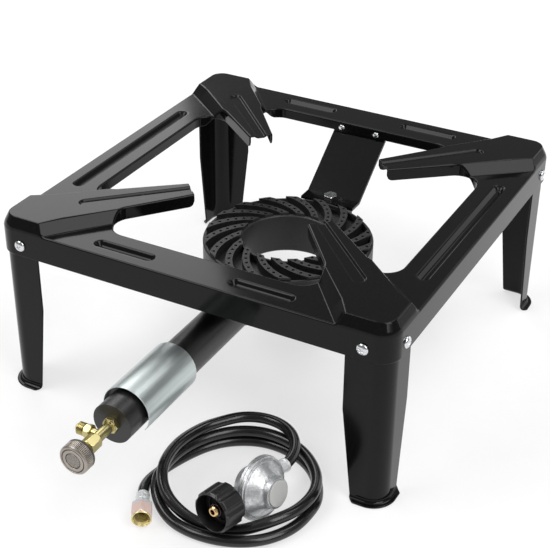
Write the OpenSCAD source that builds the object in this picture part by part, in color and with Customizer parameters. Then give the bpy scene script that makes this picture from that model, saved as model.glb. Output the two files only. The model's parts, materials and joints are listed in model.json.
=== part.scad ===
// Propane burner stand: pressed square pan stand, cast ring burner, needle
// valve, and a loose gas hose with its regulator. Millimetres, +Z up, the
// ground at z = 0, the gas inlet towards -Y.

/* [Stand] */
// Outer width of the square top frame
frame_w = 400; // [396:1:404]
// Height of the pan supports above the ground
stand_h = 187.5; // [184:0.5:194]
// Thickness of the pressed sheet
sheet_t = 2; // [1.6:0.1:2.2]

/* [Top frame] */
// Height of the skirt around the frame
skirt_h = 27; // [24:1:32]
// Width of the rails, skirt to inner edge
rail_w = 40; // [38:1:43]
// Rise of the pan arms above the rails
plateau_h = 10.5; // [9:0.5:12]
// Plan radius of the frame's corners
corner_r = 19; // [17:1:22]
// Distance from the centre to the tips of the pan arms
arm_tip = 98; // [92:1:104]
// Half of the width of an arm at its tip
arm_tip_half = 12.5; // [12:0.5:14]
// Radius of the fillets where the arms leave the rails
arm_fillet = 19; // [14:1:22]
// Depth of the flange along the inner edge of the rails
rail_lip = 11; // [10:0.5:12]

/* [Legs] */
// Width of each side of a leg at the top
leg_w = 41; // [36:1:44]
// Width of each side of a leg at the ground
leg_foot_w = 31; // [28:1:34]
// Outward reach of the rolled foot
foot_lip = 5.5; // [5:0.1:6]

/* [Burner] */
// Outer diameter of the burner ring
burner_d = 170; // [166:1:172]
// Bore of the burner ring
burner_bore = 91; // [86:1:93]
// Number of swirl ribs
rib_count = 18; // [12:1:19]
// Gas ports in each rib
ports_per_rib = 6; // [2:1:6]
// Diameter of a gas port
port_d = 3; // [1.5:0.1:3.4]

/* [Gas train] */
// Length of the sliding air shutter
sleeve_l = 76; // [72:1:78]
// Diameter of the valve knob
knob_d = 27.2; // [24:0.1:29]
// Length of the valve knob
knob_l = 12; // [10:0.5:14]

/* [Regulator and hose] */
// Diameter of the regulator's rim
reg_d = 57.5; // [57:0.1:57.8]
// Outer diameter of the hose
hose_d = 10.2; // [9.6:0.1:10.3]
// Outer diameter of the tank nut, without its ribs
tank_nut_d = 37.8; // [36.6:0.1:38]

/* [Hidden] */
$fn = 64;

// Centre of the square stand: the knob reaches further forward than the
// stand does, so the centre of the whole lies in front of it.
stand_y = 81.25;
fh = frame_w / 2;               // half of the frame's width
cc = fh - corner_r;             // centre of the corner radii
zr = stand_h - plateau_h;       // top of the rails
ih = fh - rail_w;               // half of the opening's width
zs = zr - skirt_h;              // bottom of the skirt
tz = zr - 81;                   // axis of the mixing tube
br = burner_d / 2;
bi = burner_bore / 2;
bz0 = zr - 100;                 // underside of the burner
bz1 = zr - 55;                  // top of the ribs
deck = zr - 65;                 // deck between the ribs
arm_k = 0.107;                  // taper of the arms, per side
arm_s = sqrt(1 + arm_k * arm_k);
slope_run = 7.75;               // run of the ramp beside an arm
edge_run = 5.7;                 // run of the ramp above the skirt
black = [0.06, 0.06, 0.065];
steel = [0.72, 0.74, 0.75];
brass = [0.80, 0.66, 0.32];
zinc = [0.75, 0.76, 0.77];

module at_stand() { translate([0, stand_y, 0]) children(); }
module quarters() { for (k = [0:3]) rotate([0, 0, 45 + 90 * k]) children(); }

// ---- top frame -----------------------------------------------------------

// Square block with rounded corners: half width h, corner radius r
module rblock(h, r, z0, z1) {
  c = h - r;
  translate([0, 0, z0]) linear_extrude(z1 - z0) union() {
    square([2 * c, 2 * h], center = true);
    square([2 * h, 2 * c], center = true);
    for (x = [-c, c], y = [-c, c]) translate([x, y]) circle(r);
  }
}

// The same block with its sides leaning in by a run e over the height
module rfrustum(h, r, e, z0, z1) {
  c = h - r;
  n = z1 - z0;
  translate([-c, -c, z0]) cube([2 * c, 2 * c, n]);
  for (k = [0:3]) rotate([0, 0, 90 * k]) {
    rotate([90, 0, 0]) translate([0, 0, -c]) linear_extrude(2 * c)
      polygon([[c - 20, z0], [h, z0], [h - e, z1], [c - 20, z1]]);
    translate([c, c, z0]) cylinder(h = n, r1 = r, r2 = r - e);
  }
}

// Centre of an arm's fillet, in the arm's own axes
fu = (sqrt(2) * (ih - arm_fillet) - arm_tip_half + arm_k * arm_tip
  - arm_fillet * arm_s) / (1 + arm_k);
fv = arm_tip_half + arm_k * (fu - arm_tip) + arm_fillet * arm_s;
fa0 = -atan2(1, arm_k);
fillet_n = 12;
function turn(p, a) = [p[0] * cos(a) - p[1] * sin(a),
  p[0] * sin(a) + p[1] * cos(a)];
function fillet_pt(i, g) = let (a = fa0 + (45 - fa0) * i / fillet_n)
  [fu + (arm_fillet + g) * cos(a), fv + (arm_fillet + g) * sin(a)];
function arm_edge(g) = let (u = arm_tip - (g > 0 ? 4 : 0),
  v = arm_tip_half + arm_k * (u - arm_tip) - g * arm_s)
  concat([for (i = [fillet_n:-1:0]) let (p = fillet_pt(i, g)) [p[0], -p[1]]],
    [[u, -v], [u, v]], [for (i = [0:fillet_n]) fillet_pt(i, g)]);

// The open middle of the frame, widened by g
module opening(g, z0, z1) {
  translate([0, 0, z0]) linear_extrude(z1 - z0)
    polygon([for (k = [0:3], p = arm_edge(g)) turn(p, 45 + 90 * k)]);
}

// Where an arm stands above the rails: a ramp falls away on each side
module arm_wedge(g, z0) {
  a = atan2(slope_run, plateau_h);
  vf = arm_tip_half + 0.6 + arm_k * (179 - arm_tip) + slope_run;
  difference() {
    translate([60, -70, z0]) cube([240, 140, stand_h - g - z0]);
    for (s = [0, 1]) mirror([0, s, 0])
      translate([179, vf, zr]) rotate([0, 0, atan(arm_k)]) rotate([a, 0, 0])
        translate([-200, -g, -60]) cube([400, 120, 160]);
  }
}

module plateau(g, z0) {
  e = edge_run / plateau_h;
  gg = g == 0 ? 0 : g * sqrt(1 + e * e);
  h = fh - gg + (zr - z0) * e;
  n = stand_h - g - z0;
  intersection() {
    rfrustum(h, h - cc, e * n, z0, z0 + n);
    union() { quarters() arm_wedge(g, z0); }
  }
}

// Pressed groove from [x0,0] to [x1,0], half widths w0 and w1, round ends
module groove(x0, x1, w0, w1, z0, z1) {
  translate([0, 0, z0]) linear_extrude(z1 - z0) union() {
    polygon([[x0, -w0], [x1, -w1], [x1, w1], [x0, w0]]);
    translate([x0, 0]) circle(w0);
    translate([x1, 0]) circle(w1);
  }
}
module rail_grooves(w, z0, z1) {
  ym = fh - 18;
  for (s = [-1, 1], t = [0, 180]) rotate([0, 0, t])
    translate([s * 69.5, ym, 0]) groove(-31 + 5, 31 - 5, w, w, z0, z1);
  for (t = [90, 270]) rotate([0, 0, t])
    translate([0, ym - 1, 0]) groove(-95, 95, w, w, z0, z1);
}
module arm_grooves(w, z0, z1) {
  quarters() groove(arm_tip - 12, 198, 5.5 + w, 7 + w, z0, z1);
}
// The eight screw axes: three quarters of the way out on each side
module screw_axes() {
  for (k = [0:3], s = [-1, 1]) rotate([0, 0, 90 * k])
    translate([s * (cc - 8), -fh, zr - 15.5]) rotate([90, 0, 0]) children();
}
module rivet_axes() {
  for (t = [0, 180], x = [-20, 20]) rotate([0, 0, t])
    translate([x, ih, zr - 7]) rotate([-90, 0, 0]) children();
}

module top_frame() {
  g = sheet_t;
  at_stand() color(black) difference() {
    union() {
      difference() {
        union() {
          rblock(fh, corner_r, zs, zr);
          intersection() {
            plateau(0, zr - 1);
            rblock(fh, corner_r, zr - 2, stand_h + 1);
          }
        }
        opening(0, zs - 1, stand_h + 1);
        rblock(fh - g, corner_r - g, zs - 1, zr - rail_lip);
        translate([-ih + 8, -ih + 8, zs]) cube([2 * ih - 16, 2 * ih - 16, 24.5]);
        difference() {
          union() {
            rblock(fh - g, corner_r - g, zr - rail_lip - 1, zr - g);
            intersection() {
              plateau(g, zr - g - 1);
              rblock(fh - g, corner_r - g, zr - g - 2, stand_h);
            }
          }
          opening(g, zs - 1, stand_h + 1);
        }
      }
      rail_grooves(7, zr - 4.2, zr - 1);
      difference() {
        arm_grooves(2, stand_h - 4.2, stand_h - 1);
        quarters() translate([0, -50, zs]) cube([arm_tip, 100, 60]);
      }
    }
    rail_grooves(5, zr - 2.2, zr + 1);
    arm_grooves(0, stand_h - 2.2, stand_h + 1);
    screw_axes() translate([0, 0, -5]) cylinder(h = 10, r = 3.3);
    rivet_axes() translate([0, 0, -1]) cylinder(h = 4, r = 2.05);
  }
}

// ---- legs ----------------------------------------------------------------

module leg_section() {
  r = corner_r - sheet_t - 0.05;
  union() {
    translate([r - sheet_t, 5.5]) square([sheet_t, zr - sheet_t - 0.3 - 5.5]);
    intersection() {
      translate([r + 3.5, 5.5]) difference() {
        circle(3.5 + sheet_t);
        circle(3.5);
      }
      translate([r - sheet_t - 1, 5.5 - 3.5 - sheet_t])
        square([sheet_t + 4.5, 3.5 + sheet_t]);
    }
    translate([r + 3.5, 5.5 - 3.5 - sheet_t])
      square([foot_lip - 3.5 + 0.05, sheet_t]);
  }
}
module leg_side() {
  difference() {
    rotate([90, 0, 0]) linear_extrude(leg_w - corner_r + 9) leg_section();
    translate([-5, 0, 0]) rotate([90, 0, 90]) linear_extrude(60)
      polygon([[-60, -1], [corner_r - leg_foot_w - 1, -1],
        [corner_r - leg_w - 2, zr - 83], [corner_r - leg_w - 2, zr], [-60, zr]]);
    translate([-5, -8, zr - 15.5]) rotate([0, 90, 0]) cylinder(h = 40, r = 3.2);
  }
}
module leg() {
  color(black) translate([cc, cc, 0.0]) union() {
    rotate_extrude(angle = 90) leg_section();
    leg_side();
    mirror([1, -1, 0]) leg_side();
  }
}
module leg_rear_right() { at_stand() leg(); }
module leg_rear_left() { at_stand() mirror([1, 0, 0]) leg(); }
module leg_front_right() { at_stand() mirror([0, 1, 0]) leg(); }
module leg_front_left() { at_stand() rotate([0, 0, 180]) leg(); }

// M6 screw, head outside the skirt, axis along +Z outwards
module leg_screws() {
  at_stand() color(steel) screw_axes() difference() {
    rotate_extrude() polygon([[0, -12], [2.6, -12], [2.95, -11.6], [2.95, 0],
      [5.5, 0], [5.5, 1.2], [5, 2.2], [3.6, 3], [2, 3.2], [0, 3.2]]);
    for (t = [0, 90]) rotate([0, 0, t]) translate([-2.6, -0.6, 1.6])
      cube([5.2, 1.2, 3]);
  }
}
module leg_nuts() {
  at_stand() color(steel) screw_axes()
    translate([0, 0, -2 * sheet_t - 0.1 - 5]) difference() {
      cylinder(h = 5, r = 5.77, $fn = 6);
      translate([0, 0, -1]) cylinder(h = 7, r = 3);
    }
}

// ---- burner --------------------------------------------------------------

rib_r = 63;                     // radius of a rib's curve
rib_c = [5.9, 48.6];            // centre of the first rib's curve
rib_cd = norm(rib_c);
function rib_angle(r) = atan2(rib_c[1], rib_c[0])
  - acos((r * r + rib_cd * rib_cd - rib_r * rib_r) / (2 * r * rib_cd));
port_r0 = bi + 4.5;
port_r1 = br - 5;

module rib() {
  linear_extrude(bz1 - deck + 2) intersection() {
    difference() {
      translate(rib_c) circle(rib_r + 3.5, $fn = 128);
      translate(rib_c) circle(rib_r - 3.5, $fn = 128);
    }
    difference() {
      circle(br - 2, $fn = 128);
      circle(bi + 1.5, $fn = 128);
    }
    translate([8, -20]) square([100, 100]);
  }
}

module burner_ring() {
  at_stand() color(black) difference() {
    union() {
      rotate_extrude($fn = 128) difference() {
        polygon([[bi, bz0 + 2], [bi + 2, bz0], [br - 3, bz0], [br, bz0 + 3],
          [br, bz1 - 4], [br - 1, bz1 - 3], [br - 3, bz1 - 3], [br - 4, deck],
          [bi + 4, deck], [bi + 3, bz1 - 3], [bi + 1, bz1 - 3],
          [bi, bz1 - 4]]);
        polygon([[bi + 5, bz0 + 5], [br - 5, bz0 + 5], [br - 5, deck - 4],
          [bi + 5, deck - 4]]);
      }
      for (k = [0:rib_count - 1]) rotate([0, 0, 1.4 + 360 / rib_count * k])
        translate([0, 0, deck - 2]) rib();
      // neck that takes the mixing tube
      translate([0, -80, tz]) rotate([90, 0, 0]) cylinder(h = 20, r = 23);
      // rear lug
      translate([-22, 80, zr - 75]) cube([44, 23, 14]);
    }
    translate([0, -86, tz]) rotate([90, 0, 0]) cylinder(h = 15, r = 18.75);
    translate([0, -75, tz]) rotate([90, 0, 0]) cylinder(h = 15, r = 11.5);
    translate([0, 95, zr - 76]) cylinder(h = 20, r = 4.1);
    // the socket stays outside the ring's own wall
    for (k = [0:rib_count - 1], i = [0:ports_per_rib - 1])
      let (r = port_r0 + (port_r1 - port_r0) * i / max(1, ports_per_rib - 1))
        rotate([0, 0, 1.4 + 360 / rib_count * k + rib_angle(r)])
          translate([r, 0, deck - 6]) cylinder(h = 20, r = port_d / 2, $fn = 16);
  }
}

// Bent strap, drawn from the side: y and z of its two bends
module strap(y0, z0, y1, z1, tab, pad) {
  t = 3;
  a = atan2(z1 - z0, y1 - y0);
  l = norm([y1 - y0, z1 - z0]);
  rotate([90, 0, 90]) translate([0, 0, -30]) linear_extrude(60) union() {
    translate([y0 - t / 2, z0]) square([t, tab]);
    translate([y0, z0]) circle(t / 2);
    translate([y0, z0]) rotate(a) translate([0, -t / 2]) square([l, t]);
    translate([y1, z1]) circle(t / 2);
    translate([y1 - pad, z1 - t / 2]) square([pad, t]);
  }
}
module bracket(y1, z1, pad, hole_y) {
  y0 = ih + sheet_t + 1.5;
  difference() {
    strap(y0, zr - 13.5, y1, z1, 11, pad);
    for (x = [-20, 20]) translate([x, y0 - 5, zr - 7]) rotate([-90, 0, 0])
      cylinder(h = 10, r = 2.05);
    translate([0, hole_y, z1 - 5]) cylinder(h = 10, r = 4.1);
  }
}
module burner_bracket_rear() {
  at_stand() color(black) bracket(103, zr - 59.5, 17, 95);
}
module burner_bracket_front() {
  at_stand() color(black) rotate([0, 0, 180])
    bracket(126, zr - 57.5, 22, 113);
}
module bracket_rivets() {
  at_stand() color(steel) rivet_axes() rotate_extrude()
    polygon([[0, -1.6], [1.6, -1.6], [3, -1], [3.6, 0], [2, 0],
      [2, sheet_t + 3], [3.4, sheet_t + 3], [3, sheet_t + 4.4],
      [0, sheet_t + 4.8]]);
}
module hex_bolt(l) {
  union() {
    intersection() {
      cylinder(h = 5, r = 7.5, $fn = 6);
      cylinder(h = 5, r1 = 10.5, r2 = 6.6);
    }
    translate([0, 0, -l]) cylinder(h = l + 1, r = 4);
  }
}
module burner_bolts() {
  at_stand() color(steel) {
    translate([0, 95, zr - 58]) hex_bolt(26);
    translate([0, -113, zr - 56]) hex_bolt(8.6);
  }
}
module burner_nut() {
  at_stand() color(steel) translate([0, 95, zr - 81.6]) difference() {
    cylinder(h = 6.5, r = 7.5, $fn = 6);
    translate([0, 0, -1]) cylinder(h = 9, r = 4.05);
  }
}

// ---- mixing tube and air shutter ------------------------------------------

// Things on the burner's gas axis are drawn along +Z and laid towards -Y
module gas_axis(y) {
  at_stand() translate([0, y, tz]) rotate([90, 0, 0]) children();
}
module pie(r, a0, a1, h) {
  linear_extrude(h) polygon(concat([[0, 0]],
    [for (i = [0:12]) let (a = a0 + (a1 - a0) * i / 12)
      [r * cos(a), r * sin(a)]]));
}

module mixing_tube() {
  gas_axis(-86) color(black) difference() {
    union() {
      cylinder(h = 225, r = 18.7);
      // collars that the shutter slides on, and their plain underside
      for (z = [132, 192]) intersection() {
        translate([0, 0, z]) cylinder(h = 8, r = 22.22);
        translate([0, 0, z]) pie(40, -12, 192, 8);
      }
      // boss for the front strap
      translate([-14, 5, 16]) cube([28, 17, 24]);
    }
    translate([0, 0, -1]) cylinder(h = 218, r = 15);
    translate([0, 0, 200]) cylinder(h = 30, r = 5.2);
    for (a = [0, 60, 120, 180]) rotate([0, 0, a])
      translate([10, -6, 154]) cube([12, 12, 32]);
    // tapped hole for the strap's bolt
    translate([0, 30, 27]) rotate([90, 0, 0]) cylinder(h = 20, r = 4.05);
  }
}

module air_shutter() {
  a = 128;
  gas_axis(-214.5) color(steel) difference() {
    cylinder(h = sleeve_l, r = 23);
    translate([0, 0, -1]) cylinder(h = sleeve_l + 2, r = 22.3);
    translate([0, 0, -1]) pie(60, 218, 322, sleeve_l + 2);
  }
}

// ---- valve ---------------------------------------------------------------

module gas_jet() {
  gas_axis(-296) color(brass) difference() {
    union() {
      cylinder(h = 5, r = 4.6, $fn = 6);
      translate([0, 0, 4]) cylinder(h = 8, r = 2.9);
    }
    translate([0, 0, 1.5]) cylinder(h = 12, r = 1.8);
    translate([0, 0, -1]) cylinder(h = 4, r = 0.5, $fn = 24);
  }
}
module valve_lock_nut() {
  gas_axis(-311) color(brass) difference() {
    intersection() {
      cylinder(h = 5, r = 7.68, $fn = 6);
      cylinder(h = 5, r1 = 9.6, r2 = 7);
    }
    translate([0, 0, -1]) cylinder(h = 7, r = 5.15);
  }
}
module valve_body() {
  gas_axis(-302) color(brass) difference() {
    union() {
      cylinder(h = 15, r = 5.1);
      translate([0, 0, 14]) cylinder(h = 19, r = 4.4);
      translate([0, 0, 32]) intersection() {
        rotate([0, 0, 30]) cylinder(h = 13, r = 7.22, $fn = 6);
        cylinder(h = 13, r1 = 8.4, r2 = 6.9);
      }
      // side branch
      translate([0, 0, 26]) rotate([0, -90, 0]) cylinder(h = 8, r = 3.9);
    }
    translate([0, 0, -1]) cylinder(h = 9, r = 2.95);
    translate([0, 0, 7]) cylinder(h = 9, r = 2);
    translate([0, 0, 15]) cylinder(h = 6, r = 1, $fn = 24);
    translate([0, 0, 20]) cylinder(h = 12, r = 2.9);
    translate([0, 0, 31]) cylinder(h = 15, r = 2.1);
    translate([0, 0, 40.5]) cylinder(h = 5, r = 3.55);
    translate([0, 0, 26]) rotate([0, -90, 0]) cylinder(h = 10, r = 2.6);
  }
}
module inlet_fitting() {
  at_stand() translate([0, -328, tz]) rotate([0, -90, 0]) color(brass)
    difference() {
      union() {
        translate([0, 0, 3.4]) cylinder(h = 5, r = 2.55);
        translate([0, 0, 8]) intersection() {
          cylinder(h = 6, r = 6.35, $fn = 6);
          cylinder(h = 6, r1 = 7.2, r2 = 5.9);
        }
        translate([0, 0, 13]) cylinder(h = 2.5, r = 4.8);
        translate([0, 0, 15]) cylinder(h = 6, r = 5.55);
        translate([0, 0, 21]) cylinder(h = 2.2, r1 = 4.9, r2 = 2.7);
      }
      translate([0, 0, 3]) cylinder(h = 22, r = 1.6);
    }
}
module valve_packing() {
  gas_axis(-342.6) color([0.85, 0.84, 0.8]) difference() {
    cylinder(h = 2.6, r = 3.5);
    translate([0, 0, -1]) cylinder(h = 5, r = 2.06);
  }
}
module valve_packing_nut() {
  gas_axis(-347) color(brass) difference() {
    union() {
      intersection() {
        cylinder(h = 5, r = 5.48, $fn = 6);
        cylinder(h = 5, r1 = 7, r2 = 5);
      }
      translate([0, 0, -1.6]) cylinder(h = 2, r = 3.5);
    }
    translate([0, 0, -3]) cylinder(h = 10, r = 2.06);
  }
}
module valve_stem() {
  gas_axis(-320) color(steel) union() {
    translate([0, 0, 0.9]) cylinder(h = 3.2, r1 = 0.4, r2 = 2);
    translate([0, 0, 4.1]) cylinder(h = 38.9, r = 2);
  }
}
module valve_knob() {
  kr = knob_d / 2;
  gas_axis(-354) color([0.6, 0.57, 0.53]) difference() {
    union() {
      rotate_extrude() difference() {
        polygon([[0, 0], [kr - 0.6, 0], [kr, 0.6], [kr, knob_l - 1.2],
          [kr - 1.2, knob_l], [0, knob_l]]);
        for (r = [5.5, kr - 3.4]) translate([r, knob_l]) circle(0.5, $fn = 16);
        translate([kr + 0.4, 1.6]) circle(0.9, $fn = 16);
      }
    }
    translate([0, 0, -1]) cylinder(h = 10.1, r = 2.05);
    for (i = [0:35]) rotate([0, 0, 10 * i]) translate([kr, 0, 2.8])
      rotate([0, 0, 45]) translate([-0.35, -0.35, 0])
        cube([0.7, 0.7, knob_l - 5]);
  }
}

// ---- regulator -----------------------------------------------------------

// Local axes: +X along the gas line to the hose, +Z out through the cap
module reg() {
  translate([100.4, stand_y - 251.4, 27]) rotate([78.5, 5.7, 78.8]) children();
}
module along_x(x) { translate([x, 0, 0]) rotate([0, 90, 0]) children(); }
rr = reg_d / 2;

module regulator_body() {
  reg() color(zinc) difference() {
    union() {
      translate([0, 0, 6.2]) cylinder(h = 2.4, r = rr);
      translate([0, 0, -9]) cylinder(h = 15.2, r1 = 15, r2 = 25);
      along_x(-28) cylinder(h = 59, r = 8.3);
    }
    translate([0, 0, -5]) cylinder(h = 11, r1 = 12, r2 = 20);
    translate([0, 0, 5.9]) cylinder(h = 3, r = 22);
    along_x(-30) cylinder(h = 9, r = 5.05);
    along_x(-22) cylinder(h = 8, r = 1.4);
    along_x(8) cylinder(h = 17, r = 2.6);
    along_x(24) cylinder(h = 9, r = 3.95);
    translate([-11, 0, -3.4]) rotate([90, 0, 0]) translate([0, 0, -8])
      cylinder(h = 16, r = 1.05);
  }
}
module regulator_diaphragm() {
  reg() color([0.16, 0.15, 0.14]) translate([0, 0, 8.6]) difference() {
    cylinder(h = 0.8, r = 26);
    translate([0, 0, -1]) cylinder(h = 3, r = 2.05);
  }
}
module regulator_cover() {
  reg() color(zinc) difference() {
    union() {
      translate([0, 0, 8.6]) cylinder(h = 3.2, r = rr - 0.4);
      translate([0, 0, 11.8]) cylinder(h = 10.2, r1 = 25.5, r2 = 15.5);
      translate([0, 0, 21]) cylinder(h = 6, r = 13.5);
    }
    translate([0, 0, 8]) cylinder(h = 1.4, r = 26.1);
    translate([0, 0, 9.3]) cylinder(h = 2, r = 22);
    translate([0, 0, 11.2]) cylinder(h = 9.2, r1 = 22, r2 = 12.5);
    translate([0, 0, 20]) cylinder(h = 8, r = 10.65);
    translate([0, 0, 25.4]) cylinder(h = 3, r = 11.85);
    // breather hole
    rotate([0, 0, 215]) translate([19, 0, 10]) cylinder(h = 20, r = 1.1, $fn = 24);
  }
}
module diaphragm_plate() {
  reg() color(steel) union() {
    translate([0, 0, 9.4]) cylinder(h = 1.2, r = 14);
    translate([0, 0, -1.4]) cylinder(h = 11, r = 2);
  }
}
spring_n = 64;
spring_r = 8.1;
spring_w = 0.9;
function coil_z(t) = 11.5 + 0.02 + (t < 0.2 ? 0.36 * t / 0.2
  : t > 0.8 ? 7.24 + 0.36 * (t - 0.8) / 0.2 + 0 : 0.36 + 6.88 * (t - 0.2) / 0.6);
module regulator_spring() {
  turns = 4.5;
  pts = [for (i = [0:spring_n], j = [0:5])
    let (a = 360 * turns * i / spring_n, b = 60 * j,
      r = spring_r + spring_w * cos(b))
    [r * cos(a), r * sin(a), coil_z(i / spring_n) + spring_w * sin(b)]];
  faces = concat([[for (j = [0:5]) j]],
    [for (i = [0:spring_n - 1], j = [0:5])
      [6 * i + j, 6 * i + 6 + j, 6 * i + 6 + (j + 1) % 6, 6 * i + (j + 1) % 6]],
    [[for (j = [5:-1:0]) 6 * spring_n + j]]);
  reg() color(steel) polyhedron(pts, faces, convexity = 8);
}
module spring_adjuster() {
  reg() color(brass) translate([0, 0, 21]) difference() {
    cylinder(h = 3.5, r = 10.6);
    translate([0, 0, 1]) cylinder(h = 4, r = 4.5, $fn = 6);
  }
}
module regulator_cap() {
  reg() color([0.83, 0.82, 0.79]) translate([0, 0, 25.4]) difference() {
    cylinder(h = 3.1, r = 11.8);
    translate([-7, -0.8, 2.3]) cube([14, 1.6, 2]);
  }
}
module lever_pin() {
  reg() color(steel) translate([-11, 0, -3.4]) rotate([90, 0, 0])
    translate([0, 0, -7.8]) cylinder(h = 15.6, r = 1);
}
module regulator_lever() {
  reg() color(steel) difference() {
    union() {
      translate([-12.1, -2, -4.4]) cube([15.1, 4, 2.4]);
      translate([-12.1, -2, -4.4]) cube([2.8, 4, 6.2]);
    }
    translate([-11, 0, -3.4]) rotate([90, 0, 0]) translate([0, 0, -3])
      cylinder(h = 6, r = 1.05);
  }
}
module valve_seat_pad() {
  reg() color([0.1, 0.1, 0.1]) along_x(-14) cylinder(h = 1.9, r = 1.9);
}
module inlet_nipple() {
  reg() color(brass) difference() {
    union() {
      along_x(-53) cylinder(h = 1.5, r1 = 3.8, r2 = 5);
      along_x(-51.5) cylinder(h = 10, r = 5);
      along_x(-42) cylinder(h = 2.6, r = 12);
      along_x(-39.7) cylinder(h = 8.1, r = 9.35);
      along_x(-32) cylinder(h = 3, r = 7);
      along_x(-29.5) cylinder(h = 7.3, r = 5);
    }
    along_x(-54) cylinder(h = 33, r = 2.4);
    along_x(-49.4) difference() {
      cylinder(h = 1.8, r = 6);
      translate([0, 0, -1]) cylinder(h = 4, r = 4.5);
    }
  }
}
module nipple_seal() {
  reg() color([0.12, 0.12, 0.12]) along_x(-48.5) rotate_extrude()
    translate([5.35, 0]) circle(0.8, $fn = 24);
}
module retaining_collar() {
  reg() color([0.85, 0.86, 0.87]) along_x(-31.4) difference() {
    cylinder(h = 2.5, r = 11);
    translate([0, 0, -1]) cylinder(h = 6, r = 7.05);
  }
}
module thermal_bushing() {
  reg() color([0.1, 0.1, 0.1]) along_x(-43.4) difference() {
    cylinder(h = 3.8, r = 15.8);
    translate([0, 0, -1]) cylinder(h = 6, r = 12.04);
  }
}
module tank_nut() {
  nr = tank_nut_d / 2;
  reg() color([0.07, 0.07, 0.07]) difference() {
    union() {
      along_x(-55) cylinder(h = 2, r1 = nr - 1.3, r2 = nr - 0.7);
      along_x(-53) cylinder(h = 21, r1 = nr - 0.7, r2 = nr);
      // grip ribs
      along_x(-53.5) linear_extrude(20) intersection() {
        circle(nr + 0.8);
        for (i = [0:7]) rotate(45 * i + 10) translate([nr - 3, -4.6])
          square([8, 9.2]);
      }
    }
    along_x(-56) cylinder(h = 17, r = 16.65);
    along_x(-40) cylinder(h = 10, r = 9.4);
  }
}

// ---- hose ----------------------------------------------------------------

// The hose lies in a low coil in front of the stand. Points are x and y
// from the stand's centre and z above the ground.
hose_route = [[108.8, -208.9, 22.7], [109.4, -198.8, 23.2], [107.4, -189, 24.1],
  [103, -180.1, 25.4], [96.3, -172.6, 26.4], [88, -167.1, 26.5],
  [78.5, -163.9, 26.5], [68.5, -163.2, 26.5], [58.6, -164.8, 26.5],
  [49.4, -168.6, 26.5], [41.3, -174.4, 26.5], [34.6, -181.9, 26.5],
  [28, -190.8, 26.5], [22, -200, 26.5], [16, -216, 26.5], [13, -233, 26.5], [14, -250, 26.5],
  [18, -266, 25.8], [26, -280, 22.6], [38, -290, 17.5], [52, -294, 11.5],
  [66, -294.5, 6.5], [80, -293.5, 5.2], [95, -291, 5.2], [109, -286, 8],
  [121, -279, 12.5], [132, -268, 15.5], [140, -254, 15.7], [144, -238, 15.7],
  [144, -222, 15.7], [139, -207, 15.7], [130, -194, 15.7], [118, -183, 15.7],
  [104, -175, 15.9], [88, -170.5, 16], [72, -170, 16], [57, -173.5, 16],
  [43, -181, 16], [31, -192, 15.9], [22, -205, 15.7], [15.5, -220, 15.7],
  [12, -237, 15.7], [11.5, -254, 15.5], [14, -270, 14], [22, -284, 11],
  [35, -295.5, 7.5], [50, -303, 5.5], [66, -306, 5.2], [82, -306, 5.2],
  [98, -303, 5.2], [113, -297, 5.2], [127, -287, 5.2], [138, -273, 5.2],
  [145, -256, 5.2], [147, -238, 5.2], [146, -221, 5.2], [139, -205, 5.2],
  [129, -191, 5.2], [115, -180, 5.2], [99, -173, 5.2], [82, -170, 5.2],
  [65, -171.5, 5.2], [50, -177.5, 5.2], [36, -187, 5.2], [25, -200, 5.2],
  [17, -215, 5.2], [11, -231, 5.2], [6.4, -247, 5.2], [4.2, -262, 5.8],
  [5.1, -271.8, 7.5], [7.9, -281.6, 9.3], [12.5, -290.7, 9.9]];
hose_n = len(hose_route);
// Directions of the two fittings, so that the hose leaves them squarely
start_dir = [0.1933, 0.9761, -0.0993];
end_dir = [0.5105, -0.8599, 0];
function unit(v) = v / norm(v);
function hose_dir(i) = i == 0 ? start_dir : i == hose_n - 1 ? end_dir
  : unit(unit(hose_route[i + 1] - hose_route[i])
    + unit(hose_route[i] - hose_route[i - 1]));
function hose_ring(i) = let (t = hose_dir(i), s = unit(cross(t, [0, 0, 1])),
  u = cross(s, t)) [for (j = [0:9]) let (b = 36 * j)
    hose_route[i] + (s * cos(b) + u * sin(b)) * hose_d / 2];

module gas_hose() {
  pts = [for (i = [0:hose_n - 1], p = hose_ring(i)) p];
  faces = concat([[for (j = [0:9]) j]],
    [for (i = [0:hose_n - 2], j = [0:9])
      [10 * i + j, 10 * i + 10 + j, 10 * i + 10 + (j + 1) % 10,
        10 * i + (j + 1) % 10]],
    [[for (j = [9:-1:0]) 10 * (hose_n - 1) + j]]);
  at_stand() color([0.05, 0.05, 0.05]) polyhedron(pts, faces, convexity = 12);
}
module hose_barb() {
  reg() color(brass) difference() {
    union() {
      along_x(24.5) cylinder(h = 6.5, r = 3.9);
      along_x(30.5) cylinder(h = 1, r = 3.1);
      along_x(31) cylinder(h = 12, r = 3.1);
      for (x = [34, 37, 40]) along_x(x) cylinder(h = 2.4, r1 = 3.6, r2 = 3.1);
    }
    along_x(24) cylinder(h = 20, r = 1.7);
  }
}
module hose_ferrule_regulator() {
  reg() color(zinc) difference() {
    union() {
      along_x(31.1) cylinder(h = 12.4, r = 6.3);
      along_x(33) cylinder(h = 2, r = 6.6);
      along_x(39.5) cylinder(h = 2, r = 6.6);
    }
    along_x(32.4) cylinder(h = 20, r = 5.0);
    along_x(30) cylinder(h = 5, r = 3.15);
  }
}

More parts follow.
